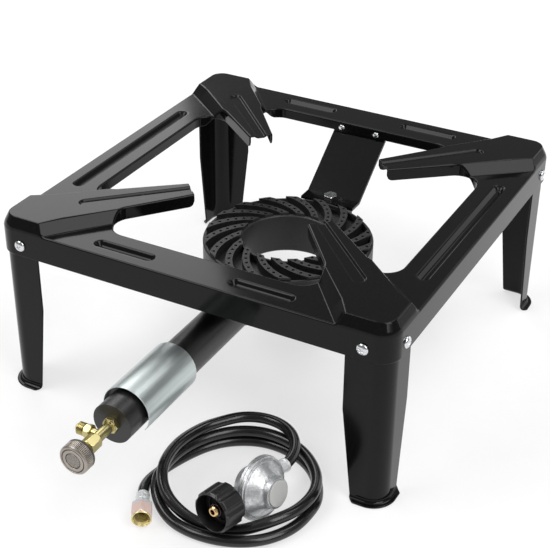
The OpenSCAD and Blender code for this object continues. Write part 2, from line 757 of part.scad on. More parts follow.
// Fittings at the free end of the hose: +X towards the open mouth
module hose_end() {
  translate([12.5, stand_y - 290.7, 9.9]) rotate([0, 0, -59.3]) children();
}
module hose_ferrule_flare() {
  hose_end() color(zinc) difference() {
    union() {
      along_x(0) cylinder(h = 10.4, r = 5.9);
      along_x(1.5) cylinder(h = 2, r = 6.2);
      along_x(6.5) cylinder(h = 2, r = 6.2);
    }
    along_x(-1) cylinder(h = 10.2, r = 4.9);
    along_x(8) cylinder(h = 4, r = 3.15);
  }
}
module hose_flare_stem() {
  hose_end() color(brass) difference() {
    union() {
      along_x(0.3) cylinder(h = 14.2, r = 3.1);
      for (x = [1.5, 4.2]) along_x(x) cylinder(h = 2.2, r1 = 3.6, r2 = 3.1);
      along_x(14.4) cylinder(h = 2.4, r = 5.2);
      along_x(16.8) cylinder(h = 1.8, r1 = 5.2, r2 = 3.4);
    }
    along_x(-1) cylinder(h = 22, r = 1.7);
  }
}
module hose_swivel_nut() {
  hose_end() color(brass) difference() {
    union() {
      along_x(10.9) cylinder(h = 1.6, r1 = 7, r2 = 8.6);
      along_x(12.4) intersection() {
        cylinder(h = 15, r = 9.85, $fn = 6);
        cylinder(h = 15, r1 = 8.9, r2 = 14);
        cylinder(h = 15, r1 = 14, r2 = 9.3);
      }
      along_x(27) cylinder(h = 3.4, r = 9.2);
      along_x(30.3) cylinder(h = 1.4, r1 = 9.2, r2 = 8.2);
    }
    along_x(10) cylinder(h = 6, r = 3.17);
    along_x(14.1) cylinder(h = 5.3, r = 6.4);
    along_x(19.2) cylinder(h = 11, r = 5.6);
    along_x(28.4) cylinder(h = 3.4, r1 = 5.6, r2 = 7.6);
  }
}

top_frame();
leg_front_left();
leg_front_right();
leg_rear_left();
leg_rear_right();
leg_screws();
leg_nuts();
burner_ring();
burner_bracket_front();
burner_bracket_rear();
bracket_rivets();
burner_bolts();
burner_nut();
mixing_tube();
air_shutter();
gas_jet();
valve_lock_nut();
valve_body();
inlet_fitting();
valve_packing_nut();
valve_packing();
valve_stem();
valve_knob();
gas_hose();
hose_ferrule_regulator();
hose_barb();
hose_ferrule_flare();
hose_flare_stem();
hose_swivel_nut();
regulator_body();
regulator_cover();
regulator_diaphragm();
diaphragm_plate();
regulator_spring();
spring_adjuster();
regulator_cap();
regulator_lever();
lever_pin();
valve_seat_pad();
inlet_nipple();
nipple_seal();
retaining_collar();
thermal_bushing();
tank_nut();
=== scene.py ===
import json
import math

import bmesh
import bpy
import numpy as np
from mathutils import Matrix, Vector
from mathutils.geometry import delaunay_2d_cdt

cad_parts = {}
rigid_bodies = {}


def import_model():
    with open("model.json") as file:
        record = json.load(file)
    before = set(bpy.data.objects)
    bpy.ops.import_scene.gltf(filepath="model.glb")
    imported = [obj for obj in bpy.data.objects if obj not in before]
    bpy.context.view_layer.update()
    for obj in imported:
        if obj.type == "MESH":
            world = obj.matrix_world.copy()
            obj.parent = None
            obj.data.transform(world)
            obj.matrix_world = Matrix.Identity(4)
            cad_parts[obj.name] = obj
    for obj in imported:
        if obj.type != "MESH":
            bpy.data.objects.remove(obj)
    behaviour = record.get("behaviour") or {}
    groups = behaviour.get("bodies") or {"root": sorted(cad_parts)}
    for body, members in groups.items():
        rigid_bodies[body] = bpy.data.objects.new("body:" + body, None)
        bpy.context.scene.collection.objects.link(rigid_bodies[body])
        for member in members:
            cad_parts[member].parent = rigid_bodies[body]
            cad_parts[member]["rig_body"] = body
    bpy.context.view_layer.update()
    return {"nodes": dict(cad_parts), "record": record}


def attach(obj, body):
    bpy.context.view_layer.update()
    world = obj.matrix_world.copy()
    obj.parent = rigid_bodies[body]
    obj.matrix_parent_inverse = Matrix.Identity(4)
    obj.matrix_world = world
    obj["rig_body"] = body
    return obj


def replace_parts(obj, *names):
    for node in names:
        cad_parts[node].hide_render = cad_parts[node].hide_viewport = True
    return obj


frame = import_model()
NODES = frame["nodes"]
SY = 81.25  # the stand's centre lies this far along +Y, in mm
scene = bpy.context.scene
scene.view_settings.view_transform = "Standard"
rng = np.random.default_rng(7)


# ---------------------------------------------------------------- camera
def make_camera():
    yaw, pitch, roll = 0.488718, 0.542486, 0.0094678
    fwd = Vector((-math.sin(yaw) * math.cos(pitch),
                  math.cos(yaw) * math.cos(pitch), -math.sin(pitch)))
    right = Vector((math.cos(yaw), math.sin(yaw), 0))
    up = right.cross(fwd)
    r2 = math.cos(roll) * right + math.sin(roll) * up
    u2 = -math.sin(roll) * right + math.cos(roll) * up
    data = bpy.data.cameras.new("camera")
    data.sensor_width = 36
    data.lens = 85.36
    data.clip_start = 0.05
    data.clip_end = 30
    cam = bpy.data.objects.new("camera", data)
    m = Matrix.Identity(4)
    for i, v in enumerate((r2, u2, -fwd)):
        for j in range(3):
            m[j][i] = v[j]
    m.translation = Vector((0.520136, -0.924119, 0.758728))
    cam.matrix_world = m
    scene.collection.objects.link(cam)
    scene.camera = cam


make_camera()


# ---------------------------------------------------------------- materials
def material(name, color, rough, metal=0.0, spec=0.5, coat=0.0, coat_rough=0.05,
             aniso=0.0):
    """A Principled material with the constants on its own sockets."""
    m = bpy.data.materials.new(name)
    m.use_nodes = True
    b = m.node_tree.nodes["Principled BSDF"]
    b.inputs["Base Color"].default_value = (*color, 1)
    b.inputs["Roughness"].default_value = rough
    b.inputs["Metallic"].default_value = metal
    b.inputs["Specular IOR Level"].default_value = spec
    b.inputs["Coat Weight"].default_value = coat
    b.inputs["Coat Roughness"].default_value = coat_rough
    b.inputs["Anisotropic"].default_value = aniso
    return m


def tex(m, kind="ShaderNodeTexNoise", scale=300.0, stretch=(1, 1, 1), coord="Object",
        detail=3.0, rough=0.5, turn=(0, 0, 0)):
    """A noise read in the piece's own space; returns its height output."""
    nt = m.node_tree
    c = nt.nodes.new("ShaderNodeTexCoord")
    mp = nt.nodes.new("ShaderNodeMapping")
    mp.inputs["Scale"].default_value = stretch
    mp.inputs["Rotation"].default_value = turn
    nt.links.new(c.outputs[coord], mp.inputs["Vector"])
    t = nt.nodes.new(kind)
    if "Scale" in t.inputs:
        t.inputs["Scale"].default_value = scale
    if kind == "ShaderNodeTexNoise":
        t.inputs["Detail"].default_value = detail
        t.inputs["Roughness"].default_value = rough
    nt.links.new(mp.outputs["Vector"], t.inputs["Vector"])
    return t.outputs["Fac"] if "Fac" in t.outputs else t.outputs["Distance"]


def ramp(m, value, lo, hi, a, b):
    """Maps value from lo..hi to the numbers a..b."""
    r = m.node_tree.nodes.new("ShaderNodeMapRange")
    for k, v in zip(("From Min", "From Max", "To Min", "To Max"), (lo, hi, a, b)):
        r.inputs[k].default_value = v
    m.node_tree.links.new(value, r.inputs["Value"])
    return r.outputs["Result"]


def mix(m, value, ca, cb):
    x = m.node_tree.nodes.new("ShaderNodeMix")
    x.data_type = "RGBA"
    for s, c in ((6, ca), (7, cb)):
        if isinstance(c, tuple):
            x.inputs[s].default_value = (*c, 1)
        else:
            m.node_tree.links.new(c, x.inputs[s])
    m.node_tree.links.new(value, x.inputs[0])
    return x.outputs[2]


def put(m, socket, value):
    m.node_tree.links.new(value, m.node_tree.nodes["Principled BSDF"].inputs[socket])


def bump(m, value, distance, strength=1.0, normal=None):
    b = m.node_tree.nodes.new("ShaderNodeBump")
    b.inputs["Distance"].default_value = distance
    b.inputs["Strength"].default_value = strength
    m.node_tree.links.new(value, b.inputs["Height"])
    if normal is not None:
        m.node_tree.links.new(normal, b.inputs["Normal"])
    return b.outputs["Normal"]


def enamel_material():
    m = material("black_enamel", (0.003, 0.003, 0.0033), 0.11, spec=0.19)
    big = tex(m, scale=9, detail=2)
    small = tex(m, scale=420, detail=4)
    put(m, "Roughness", ramp(m, big, 0.3, 0.7, 0.09, 0.14))
    put(m, "Base Color", mix(m, ramp(m, small, 0.35, 0.75, 0, 1),
                             (0.0024, 0.0024, 0.0027), (0.0045, 0.0045, 0.0048)))
    fine = bump(m, small, 0.00003, 0.10)
    put(m, "Normal", bump(m, tex(m, scale=60, detail=1), 0.0002, 0.03, fine))
    return m


def casting_material(name, color, rough, grain, depth, spec=0.4):
    m = material(name, color, rough, spec=spec)
    g = tex(m, scale=grain, detail=6, rough=0.62)
    put(m, "Base Color", mix(m, ramp(m, g, 0.3, 0.75, 0, 1),
                             tuple(c * 0.72 for c in color),
                             tuple(c * 1.5 for c in color)))
    put(m, "Roughness", ramp(m, g, 0.3, 0.7, rough - 0.07, rough + 0.1))
    put(m, "Normal", bump(m, g, depth, 0.55))
    return m


def metal_material(name, color, rough, grain=500, streak=(1, 1, 1), depth=0.00002,
                   spread=0.06, tint=0.85, metal=1.0):
    m = material(name, color, rough, metal=metal)
    g = tex(m, scale=grain, stretch=streak, detail=4, rough=0.6)
    cloud = tex(m, scale=70, detail=3)
    put(m, "Base Color", mix(m, ramp(m, cloud, 0.3, 0.7, 0, 1),
                             tuple(c * tint for c in color), color))
    put(m, "Roughness", ramp(m, g, 0.3, 0.7, max(0.02, rough - spread), rough + spread))
    put(m, "Normal", bump(m, g, depth, 0.35))
    return m


def rubber_material():
    m = material("hose_rubber", (0.006, 0.006, 0.0065), 0.2, spec=0.5)
    g = tex(m, scale=900, detail=3)
    c = tex(m, scale=18, detail=2)
    put(m, "Base Color", mix(m, ramp(m, c, 0.3, 0.7, 0, 1),
                             (0.0045, 0.0045, 0.005), (0.009, 0.009, 0.0095)))
    put(m, "Roughness", ramp(m, g, 0.3, 0.7, 0.17, 0.24))
    put(m, "Normal", bump(m, g, 0.00001, 0.12))
    return m


def plastic_material(name, color, rough, spec=0.5):
    m = material(name, color, rough, spec=spec)
    g = tex(m, scale=1300, detail=3)
    c = tex(m, scale=35, detail=2)
    put(m, "Base Color", mix(m, ramp(m, c, 0.3, 0.7, 0, 1),
                             tuple(x * 0.8 for x in color), color))
    put(m, "Roughness", ramp(m, g, 0.3, 0.7, rough - 0.05, rough + 0.08))
    put(m, "Normal", bump(m, g, 0.00002, 0.4))
    return m


def galvanised_material():
    """Drawn, zinc-plated sheet: fine lines along the tube's axis."""
    m = material("galvanised", (0.60, 0.66, 0.65), 0.3, metal=1.0)
    line = tex(m, scale=700, stretch=(1, 0.012, 1), detail=5, rough=0.65)
    wide = tex(m, scale=120, stretch=(1, 0.03, 1), detail=3)
    put(m, "Base Color", mix(m, ramp(m, line, 0.3, 0.72, 0, 1),
                             (0.56, 0.615, 0.61), (0.66, 0.72, 0.715)))
    put(m, "Roughness", ramp(m, wide, 0.3, 0.7, 0.33, 0.40))
    put(m, "Normal", bump(m, line, 0.000006, 0.2))
    return m


def cast_zinc_material():
    """Bright die casting with a blotchy skin."""
    m = material("cast_zinc", (0.62, 0.63, 0.64), 0.4, metal=1.0)
    blot = ramp(m, tex(m, scale=150, detail=5, rough=0.7), 0.40, 0.60, 0, 1)
    fleck = ramp(m, tex(m, scale=620, detail=3, rough=0.6), 0.36, 0.64, 0, 1)
    c = mix(m, blot, (0.43, 0.44, 0.45), (0.80, 0.81, 0.82))
    put(m, "Base Color", mix(m, fleck, tuple([0.52, 0.53, 0.54]), c))
    put(m, "Roughness", ramp(m, blot, 0, 1, 0.52, 0.34))
    put(m, "Normal", bump(m, fleck, 0.00012, 0.35))
    return m


def knob_face_material():
    """Stippled casting of the knob's middle."""
    m = material("knob_face", (0.27, 0.25, 0.22), 0.5, metal=1.0)
    g = tex(m, scale=1300, detail=2, rough=0.6)
    put(m, "Base Color", mix(m, ramp(m, g, 0.38, 0.62, 0, 1), (0.16, 0.145, 0.13),
                             (0.42, 0.39, 0.35)))
    put(m, "Roughness", ramp(m, g, 0.3, 0.7, 0.42, 0.6))
    put(m, "Normal", bump(m, g, 0.00025, 0.7))
    return m


M = {
    "enamel": enamel_material(),
    "cast_iron": casting_material("burner_casting", (0.012, 0.012, 0.012), 0.42, 260,
                                  0.0002),
    "tube": casting_material("tube_paint", (0.0065, 0.006, 0.006), 0.33, 420, 0.00006, 0.55),
    "galvanised": galvanised_material(),
    "zinc_plate": metal_material("zinc_plate", (0.74, 0.75, 0.76), 0.20, 900),
    "brass": metal_material("brass", (0.54, 0.475, 0.225), 0.30, 500, depth=0.000004,
                            spread=0.03),
    "copper_brass": metal_material("copper_brass", (0.90, 0.69, 0.62), 0.36, 700, tint=0.93,
                                   metal=0.35),
    "brass_pale": metal_material("brass_pale", (0.84, 0.74, 0.40), 0.30, 700, metal=0.7),
    "orange_brass": metal_material("orange_brass", (0.80, 0.53, 0.28), 0.26, 700),
    "ferrule": metal_material("ferrule", (0.80, 0.81, 0.82), 0.36, 900, tint=0.9, metal=0.45),
    # near-black material painted inside the tank nut and over the nipple within it, as painted shade
    "inner_shade_black": plastic_material("inner_shade_black", (0.002, 0.002, 0.002), 0.5, 0.25),
    "knob_face": knob_face_material(),
    "knob_zinc": metal_material("knob_zinc", (0.40, 0.36, 0.32), 0.36, 1100,
                                depth=0.00003, spread=0.06),
    # dark knob casting: the knob's own dark back rim, and painted shade in the knurl valleys and face grooves
    "knob_back_rim_and_groove_shade": casting_material("knob_back_rim_and_groove_shade", (0.05, 0.047, 0.045), 0.4, 900, 0.00004),
    "cast_zinc": cast_zinc_material(),
    "chrome": metal_material("chrome", (0.74, 0.75, 0.77), 0.14, 800, spread=0.03),
    "cap_pale": plastic_material("cap_pale", (0.50, 0.50, 0.49), 0.42, 0.4),
    "seal_white": plastic_material("seal_white", (0.75, 0.74, 0.70), 0.45),
    "black_plastic": plastic_material("black_plastic", (0.0085, 0.0085, 0.009), 0.30),
    "hose_rubber": rubber_material(),
}
SLOTS = {r["node"]: r["material_slot"] for r in frame["record"].get("subparts", [])
         if "material_slot" in r} if isinstance(frame["record"].get("subparts"), list) else {}


def paint(obj, mat):
    obj.data.materials.clear()
    obj.data.materials.append(M[mat] if isinstance(mat, str) else mat)


# ---------------------------------------------------------------- mesh tools
def to_row(p):
    """Stand millimetres to the row's frame in metres."""
    return (np.asarray(p, float) + [0, SY, 0]) / 1000


def make(name, pts, faces, normals=None, mat=None, body="stand", raw=False):
    me = bpy.data.meshes.new(name)
    co = np.asarray(pts, float) if raw else to_row(pts)
    me.from_pydata(co.tolist(), [], [tuple(int(i) for i in f) for f in faces])
    me.polygons.foreach_set("use_smooth", [True] * len(me.polygons))
    me.update()
    if normals is not None:
        me.normals_split_custom_set_from_vertices([tuple(n) for n in normals])
    obj = bpy.data.objects.new(name, me)
    scene.collection.objects.link(obj)
    if mat is not None:
        paint(obj, mat)
    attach(obj, body)
    return obj


def unit(v):
    v = np.asarray(v, float)
    return v / np.maximum(np.linalg.norm(v, axis=-1, keepdims=True), 1e-12)


def shell(pts, nrm, faces, t, rim=4):
    """Thickens a surface inwards by t and closes its border with a round rim."""
    pts, nrm = np.asarray(pts, float), np.asarray(nrm, float)
    n = len(pts)
    faces = [tuple(int(i) for i in f) for f in faces]
    out_p, out_n = [pts, pts - nrm * t], [nrm, -nrm]
    all_f = faces + [tuple(i + n for i in reversed(f)) for f in faces]
    edges = {(a, b) for f in faces for a, b in zip(f, f[1:] + f[:1])}
    border = [(a, b) for a, b in edges if (b, a) not in edges]
    border.sort()
    nxt, prv = dict(border), {b: a for a, b in border}
    ids = sorted(nxt)
    row = {v: i for i, v in enumerate(ids)}
    tan = unit(pts[[nxt[v] for v in ids]] - pts[[prv.get(v, v) for v in ids]])
    side = unit(np.cross(tan, nrm[ids]))
    mid = pts[ids] - nrm[ids] * (t / 2)
    base = 2 * n
    for j in range(1, rim):
        a = math.pi * j / rim
        d = math.cos(a) * nrm[ids] + math.sin(a) * side
        out_p.append(mid + d * (t / 2))
        out_n.append(d)

    def at(v, j):
        if j == 0:
            return v
        return v + n if j == rim else base + (j - 1) * len(ids) + row[v]

    for a, b in border:
        for j in range(rim):
            all_f.append((at(b, j), at(a, j), at(a, j + 1), at(b, j + 1)))
    return np.vstack(out_p), np.vstack(out_n), all_f


def grid_faces(rows, cols, close=False, flip=False):
    f = []
    for i in range(rows - 1):
        for j in range(cols if close else cols - 1):
            a, b = i * cols + j, i * cols + (j + 1) % cols
            q = (a, b, b + cols, a + cols)
            f.append(q[::-1] if flip else q)
    return f


def smooth01(x):
    x = np.clip(x, 0, 1)
    return x * x * (3 - 2 * x)


def smin(a, b, k):
    h = np.maximum(k - np.abs(a - b), 0) / k
    return np.minimum(a, b) - h * h * k / 4


def smax(a, b, k):
    return -smin(-a, -b, k)


# ---------------------------------------------------------------- hose
ROUTE = [[.1088, -.2089, .0227], [.1094, -.1988, .0232], [.1074, -.189, .0241],
         [.103, -.1801, .0254], [.0963, -.1726, .0264], [.088, -.1671, .0265],
         [.0785, -.1639, .0265], [.0685, -.1632, .0265], [.0586, -.1648, .0265],
         [.0494, -.1686, .0265], [.0413, -.1744, .0265], [.0346, -.1819, .0265],
         [.028, -.1908, .0265], [.022, -.200, .0265], [.016, -.216, .0265],
         [.013, -.233, .0265], [.014, -.250, .0265], [.018, -.266, .0258],
         [.026, -.280, .0226], [.038, -.290, .0175], [.052, -.294, .0115],
         [.066, -.2945, .0065], [.080, -.2935, .0052], [.095, -.291, .0052],
         [.109, -.286, .008], [.121, -.279, .0125], [.132, -.268, .0155],
         [.140, -.254, .0157], [.144, -.238, .0157], [.144, -.222, .0157],
         [.139, -.207, .0157], [.130, -.194, .0157], [.118, -.183, .0157],
         [.104, -.175, .0159], [.088, -.1705, .016], [.072, -.170, .016],
         [.057, -.1735, .016], [.043, -.181, .016], [.031, -.192, .0159],
         [.022, -.205, .0157], [.0155, -.220, .0157], [.012, -.237, .0157],
         [.0115, -.254, .0155], [.014, -.270, .014], [.022, -.284, .011],
         [.035, -.2955, .0075], [.050, -.303, .0055], [.066, -.306, .0052],
         [.082, -.306, .0052], [.098, -.303, .0052], [.113, -.297, .0052],
         [.127, -.287, .0052], [.138, -.273, .0052], [.145, -.256, .0052],
         [.147, -.238, .0052], [.146, -.221, .0052], [.139, -.205, .0052],
         [.129, -.191, .0052], [.115, -.180, .0052], [.099, -.173, .0052],
         [.082, -.170, .0052], [.065, -.1715, .0052], [.050, -.1775, .0052],
         [.036, -.187, .0052], [.025, -.200, .0052], [.017, -.215, .0052],
         [.011, -.231, .0052], [.0064, -.247, .0052], [.0042, -.262, .0058],
         [.0051, -.2718, .0075], [.0079, -.2816, .0093], [.0125, -.2907, .0099]]


def smooth_route(steps=9):
    """Catmull-Rom through the route, with its ends squared to the fittings."""
    p = np.array(ROUTE) + [0, SY / 1000, 0]
    d0 = unit([0.1933, 0.9761, -0.0993])
    d1 = unit([0.5105, -0.8599, 0])
    first = np.linalg.norm(p[1] - p[0])
    last = np.linalg.norm(p[-1] - p[-2])
    ext = np.vstack([p[1] - 2 * first * d0, p, p[-2] + 2 * last * d1])
    out = []
    for i in range(1, len(ext) - 2):
        a, b, c, d = ext[i - 1:i + 3]
        tb = (c - a) / 2
        tc = (d - b) / 2
        if i == 1:
            tb = d0 * first
        if i == len(ext) - 3:
            tc = d1 * last
        for s in range(steps):
            t = s / steps
            h = (2 * t**3 - 3 * t**2 + 1, t**3 - 2 * t**2 + t,
                 -2 * t**3 + 3 * t**2, t**3 - t**2)
            out.append(h[0] * b + h[1] * tb + h[2] * c + h[3] * tc)
    out.append(p[-1])
    out = np.array(out)
    for _ in range(14):  # takes the last ripples out of the line, its ends held
        q = out.copy()
        q[2:-2] = (out[1:-3] + 2 * out[2:-2] + out[3:-1]) / 4
        out = q
    return out


def build_hose():
    line = smooth_route()
    cu = bpy.data.curves.new("gas_hose_line", "CURVE")
    cu.dimensions = "3D"
    sp = cu.splines.new("POLY")
    sp.points.add(len(line) - 1)
    for pt, co in zip(sp.points, line):
        pt.co = (*co, 1)
    sp.use_smooth = True
    cu.bevel_depth = 0.00505
    cu.bevel_resolution = 7
    cu.use_fill_caps = True
    obj = bpy.data.objects.new("gas_hose_rubber", cu)
    scene.collection.objects.link(obj)
    cu.materials.append(M["hose_rubber"])
    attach(obj, "stand")
    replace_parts(obj, "gas_hose")
    length = float(np.linalg.norm(np.diff(line, axis=0), axis=1).sum())
    return obj, line, length


hose, hose_line, hose_length = build_hose()


# ---------------------------------------------------------------- top frame
FH, CR, CC = 200.0, 19.0, 181.0
ZR, TOP, ZS = 177.0, 187.5, 150.0
TIP, TIP_H, ARM_K = 98.0, 12.5, 0.107
ARM_S = math.sqrt(1 + ARM_K**2)
RO, RI = 1.8, 1.8
FU = (math.sqrt(2) * (160 - 19) - TIP_H + ARM_K * TIP - 19 * ARM_S) / (1 + ARM_K)
FV = TIP_H + ARM_K * (FU - TIP) + 19 * ARM_S
FA0 = -math.atan2(1, ARM_K)


def outer_distance(x, y):
    ax, ay = np.abs(x), np.abs(y)
    d = 200 - np.maximum(ax, ay)
    corner = (ax > CC) & (ay > CC)
    return np.where(corner, CR - np.hypot(ax - CC, ay - CC), d)


def arm_axes(x, y):
    ax, ay = np.abs(x), np.abs(y)
    return (ax + ay) / math.sqrt(2), np.abs(ay - ax) / math.sqrt(2)


def open_distance(x, y):
    """Distance from the opening's edge, positive on the sheet."""
    u, v = arm_axes(x, y)
    m = np.maximum(np.abs(x), np.abs(y))
    d_arm = (TIP_H + ARM_K * (u - TIP) - v) / ARM_S
    d_rail = m - 160
    d = np.maximum(np.minimum(d_arm, u - TIP), d_rail)
    a = np.arctan2(v - FV, u - FU)
    sector = (a > FA0) & (a < math.pi / 4)
    return np.where(sector & (u > FU - 30), np.hypot(u - FU, v - FV) - 19, d)


def seg_distance(x, y, x0, y0, x1, y1):
    px, py, dx, dy = x - x0, y - y0, x1 - x0, y1 - y0
    t = np.clip((px * dx + py * dy) / (dx * dx + dy * dy), 0, 1)
    return np.hypot(px - t * dx, py - t * dy)


def press(dist, half, depth, wall=2.6):
    return depth * (1 - smooth01((dist - (half - wall)) / wall))


def height(x, y):
    """Height of the sheet's outer face over the plan."""
    u, v = arm_axes(x, y)
    vt = np.interp(u, [98, 165, 225, 245, 290], [13.4, 21.0, 24.6, 28.6, 37.6])
    vf = 20.75 + 0.1068 * (u - 98)
    side = 10.5 * (vf - v) / np.maximum(vf - vt, 2)
    edge = 10.5 * outer_distance(x, y) / 5.7
    p = smin(side, edge, 0.9)
    p = smax(smin(p, 10.5, 1.1), 0, 0.9)
    z = ZR + p
    ax, ay = np.abs(x), np.abs(y)
    # front and rear rails: two short grooves each; side rails: one long groove
    g = press(seg_distance(ax, ay, 44, 182, 95, 182), 6.6, 4.8, 5.0)
    g = np.maximum(g, press(seg_distance(ax, ay, 181, -1, 181, 95), 6.8, 4.4, 6.6))
    # arm grooves run out at the tips
    w = 5.6 + 1.4 * np.clip((u - 98) / 107, 0, 1)
    s = np.hypot(np.maximum(u - 198, 0), v)
    g = np.maximum(g, press(s, w, 2.0, 2.0))
    return z - g


def height_normal(x, y, e=0.2):
    gx = (height(x + e, y) - height(x - e, y)) / (2 * e)
    gy = (height(x, y + e) - height(x, y - e)) / (2 * e)
    return unit(np.stack([-gx, -gy, np.ones_like(gx)], -1))


def outer_ring():
    """Points of the outer contour with their outward directions."""
    p, n = [], []
    line = np.linspace(-CC, CC, 92)[1:-1]
    arc = np.radians(np.linspace(0, 90, 23))
    for k in range(4):
        c, s = [(1, 0), (0, 1), (-1, 0), (0, -1)][k]
        q, m = [], []
        for y in line:
            q.append((200, y)); m.append((1, 0))
        for a in arc:
            q.append((CC + CR * math.cos(a), CC + CR * math.sin(a)))
            m.append((math.cos(a), math.sin(a)))
        for (a, b), (f, g) in zip(q, m):
            p.append((a * c - b * s, a * s + b * c))
            n.append((f * c - g * s, f * s + g * c))
    return np.array(p), np.array(n)


def side_chain():
    """One side of the opening, from arm tip to arm tip, round the +X rail: points at the edge and the directions into the opening."""
    p, n = [], []
    q45 = math.pi / 4

    def add(u, v, nu, nv):
        c, s = math.cos(q45), math.sin(q45)
        p.append((u * c - v * s, u * s + v * c))
        n.append((nu * c - nv * s, nu * s + nv * c))

    # the arm at +45 degrees has this side at v < 0
    a1 = FA0
    ut = FU + 19 * math.cos(a1)
    half = []
    for u in np.linspace(TIP, ut, 42):
        v = TIP_H + ARM_K * (u - TIP)
        half.append((u, -v, -ARM_K / ARM_S, -1 / ARM_S))
    for a in np.linspace(FA0, q45, 26)[1:]:
        half.append((FU + 19 * math.cos(a), -(FV + 19 * math.sin(a)),
                     -math.cos(a), math.sin(a)))
    for h in half:
        add(*h)
    p, n = np.array(p), np.array(n)
    # straight stretch of the rail between the two fillets
    y0 = p[-1][1]
    ys = np.linspace(y0, -y0, int(2 * y0 / 4) + 2)[1:-1]
    mid = np.stack([np.full_like(ys, 160.0), ys], -1)
    mn = np.tile([-1.0, 0.0], (len(ys), 1))
    back, bn = p[::-1] * [1, -1], n[::-1] * [1, -1]
    return np.vstack([p, mid, back]), np.vstack([n, mn, bn])


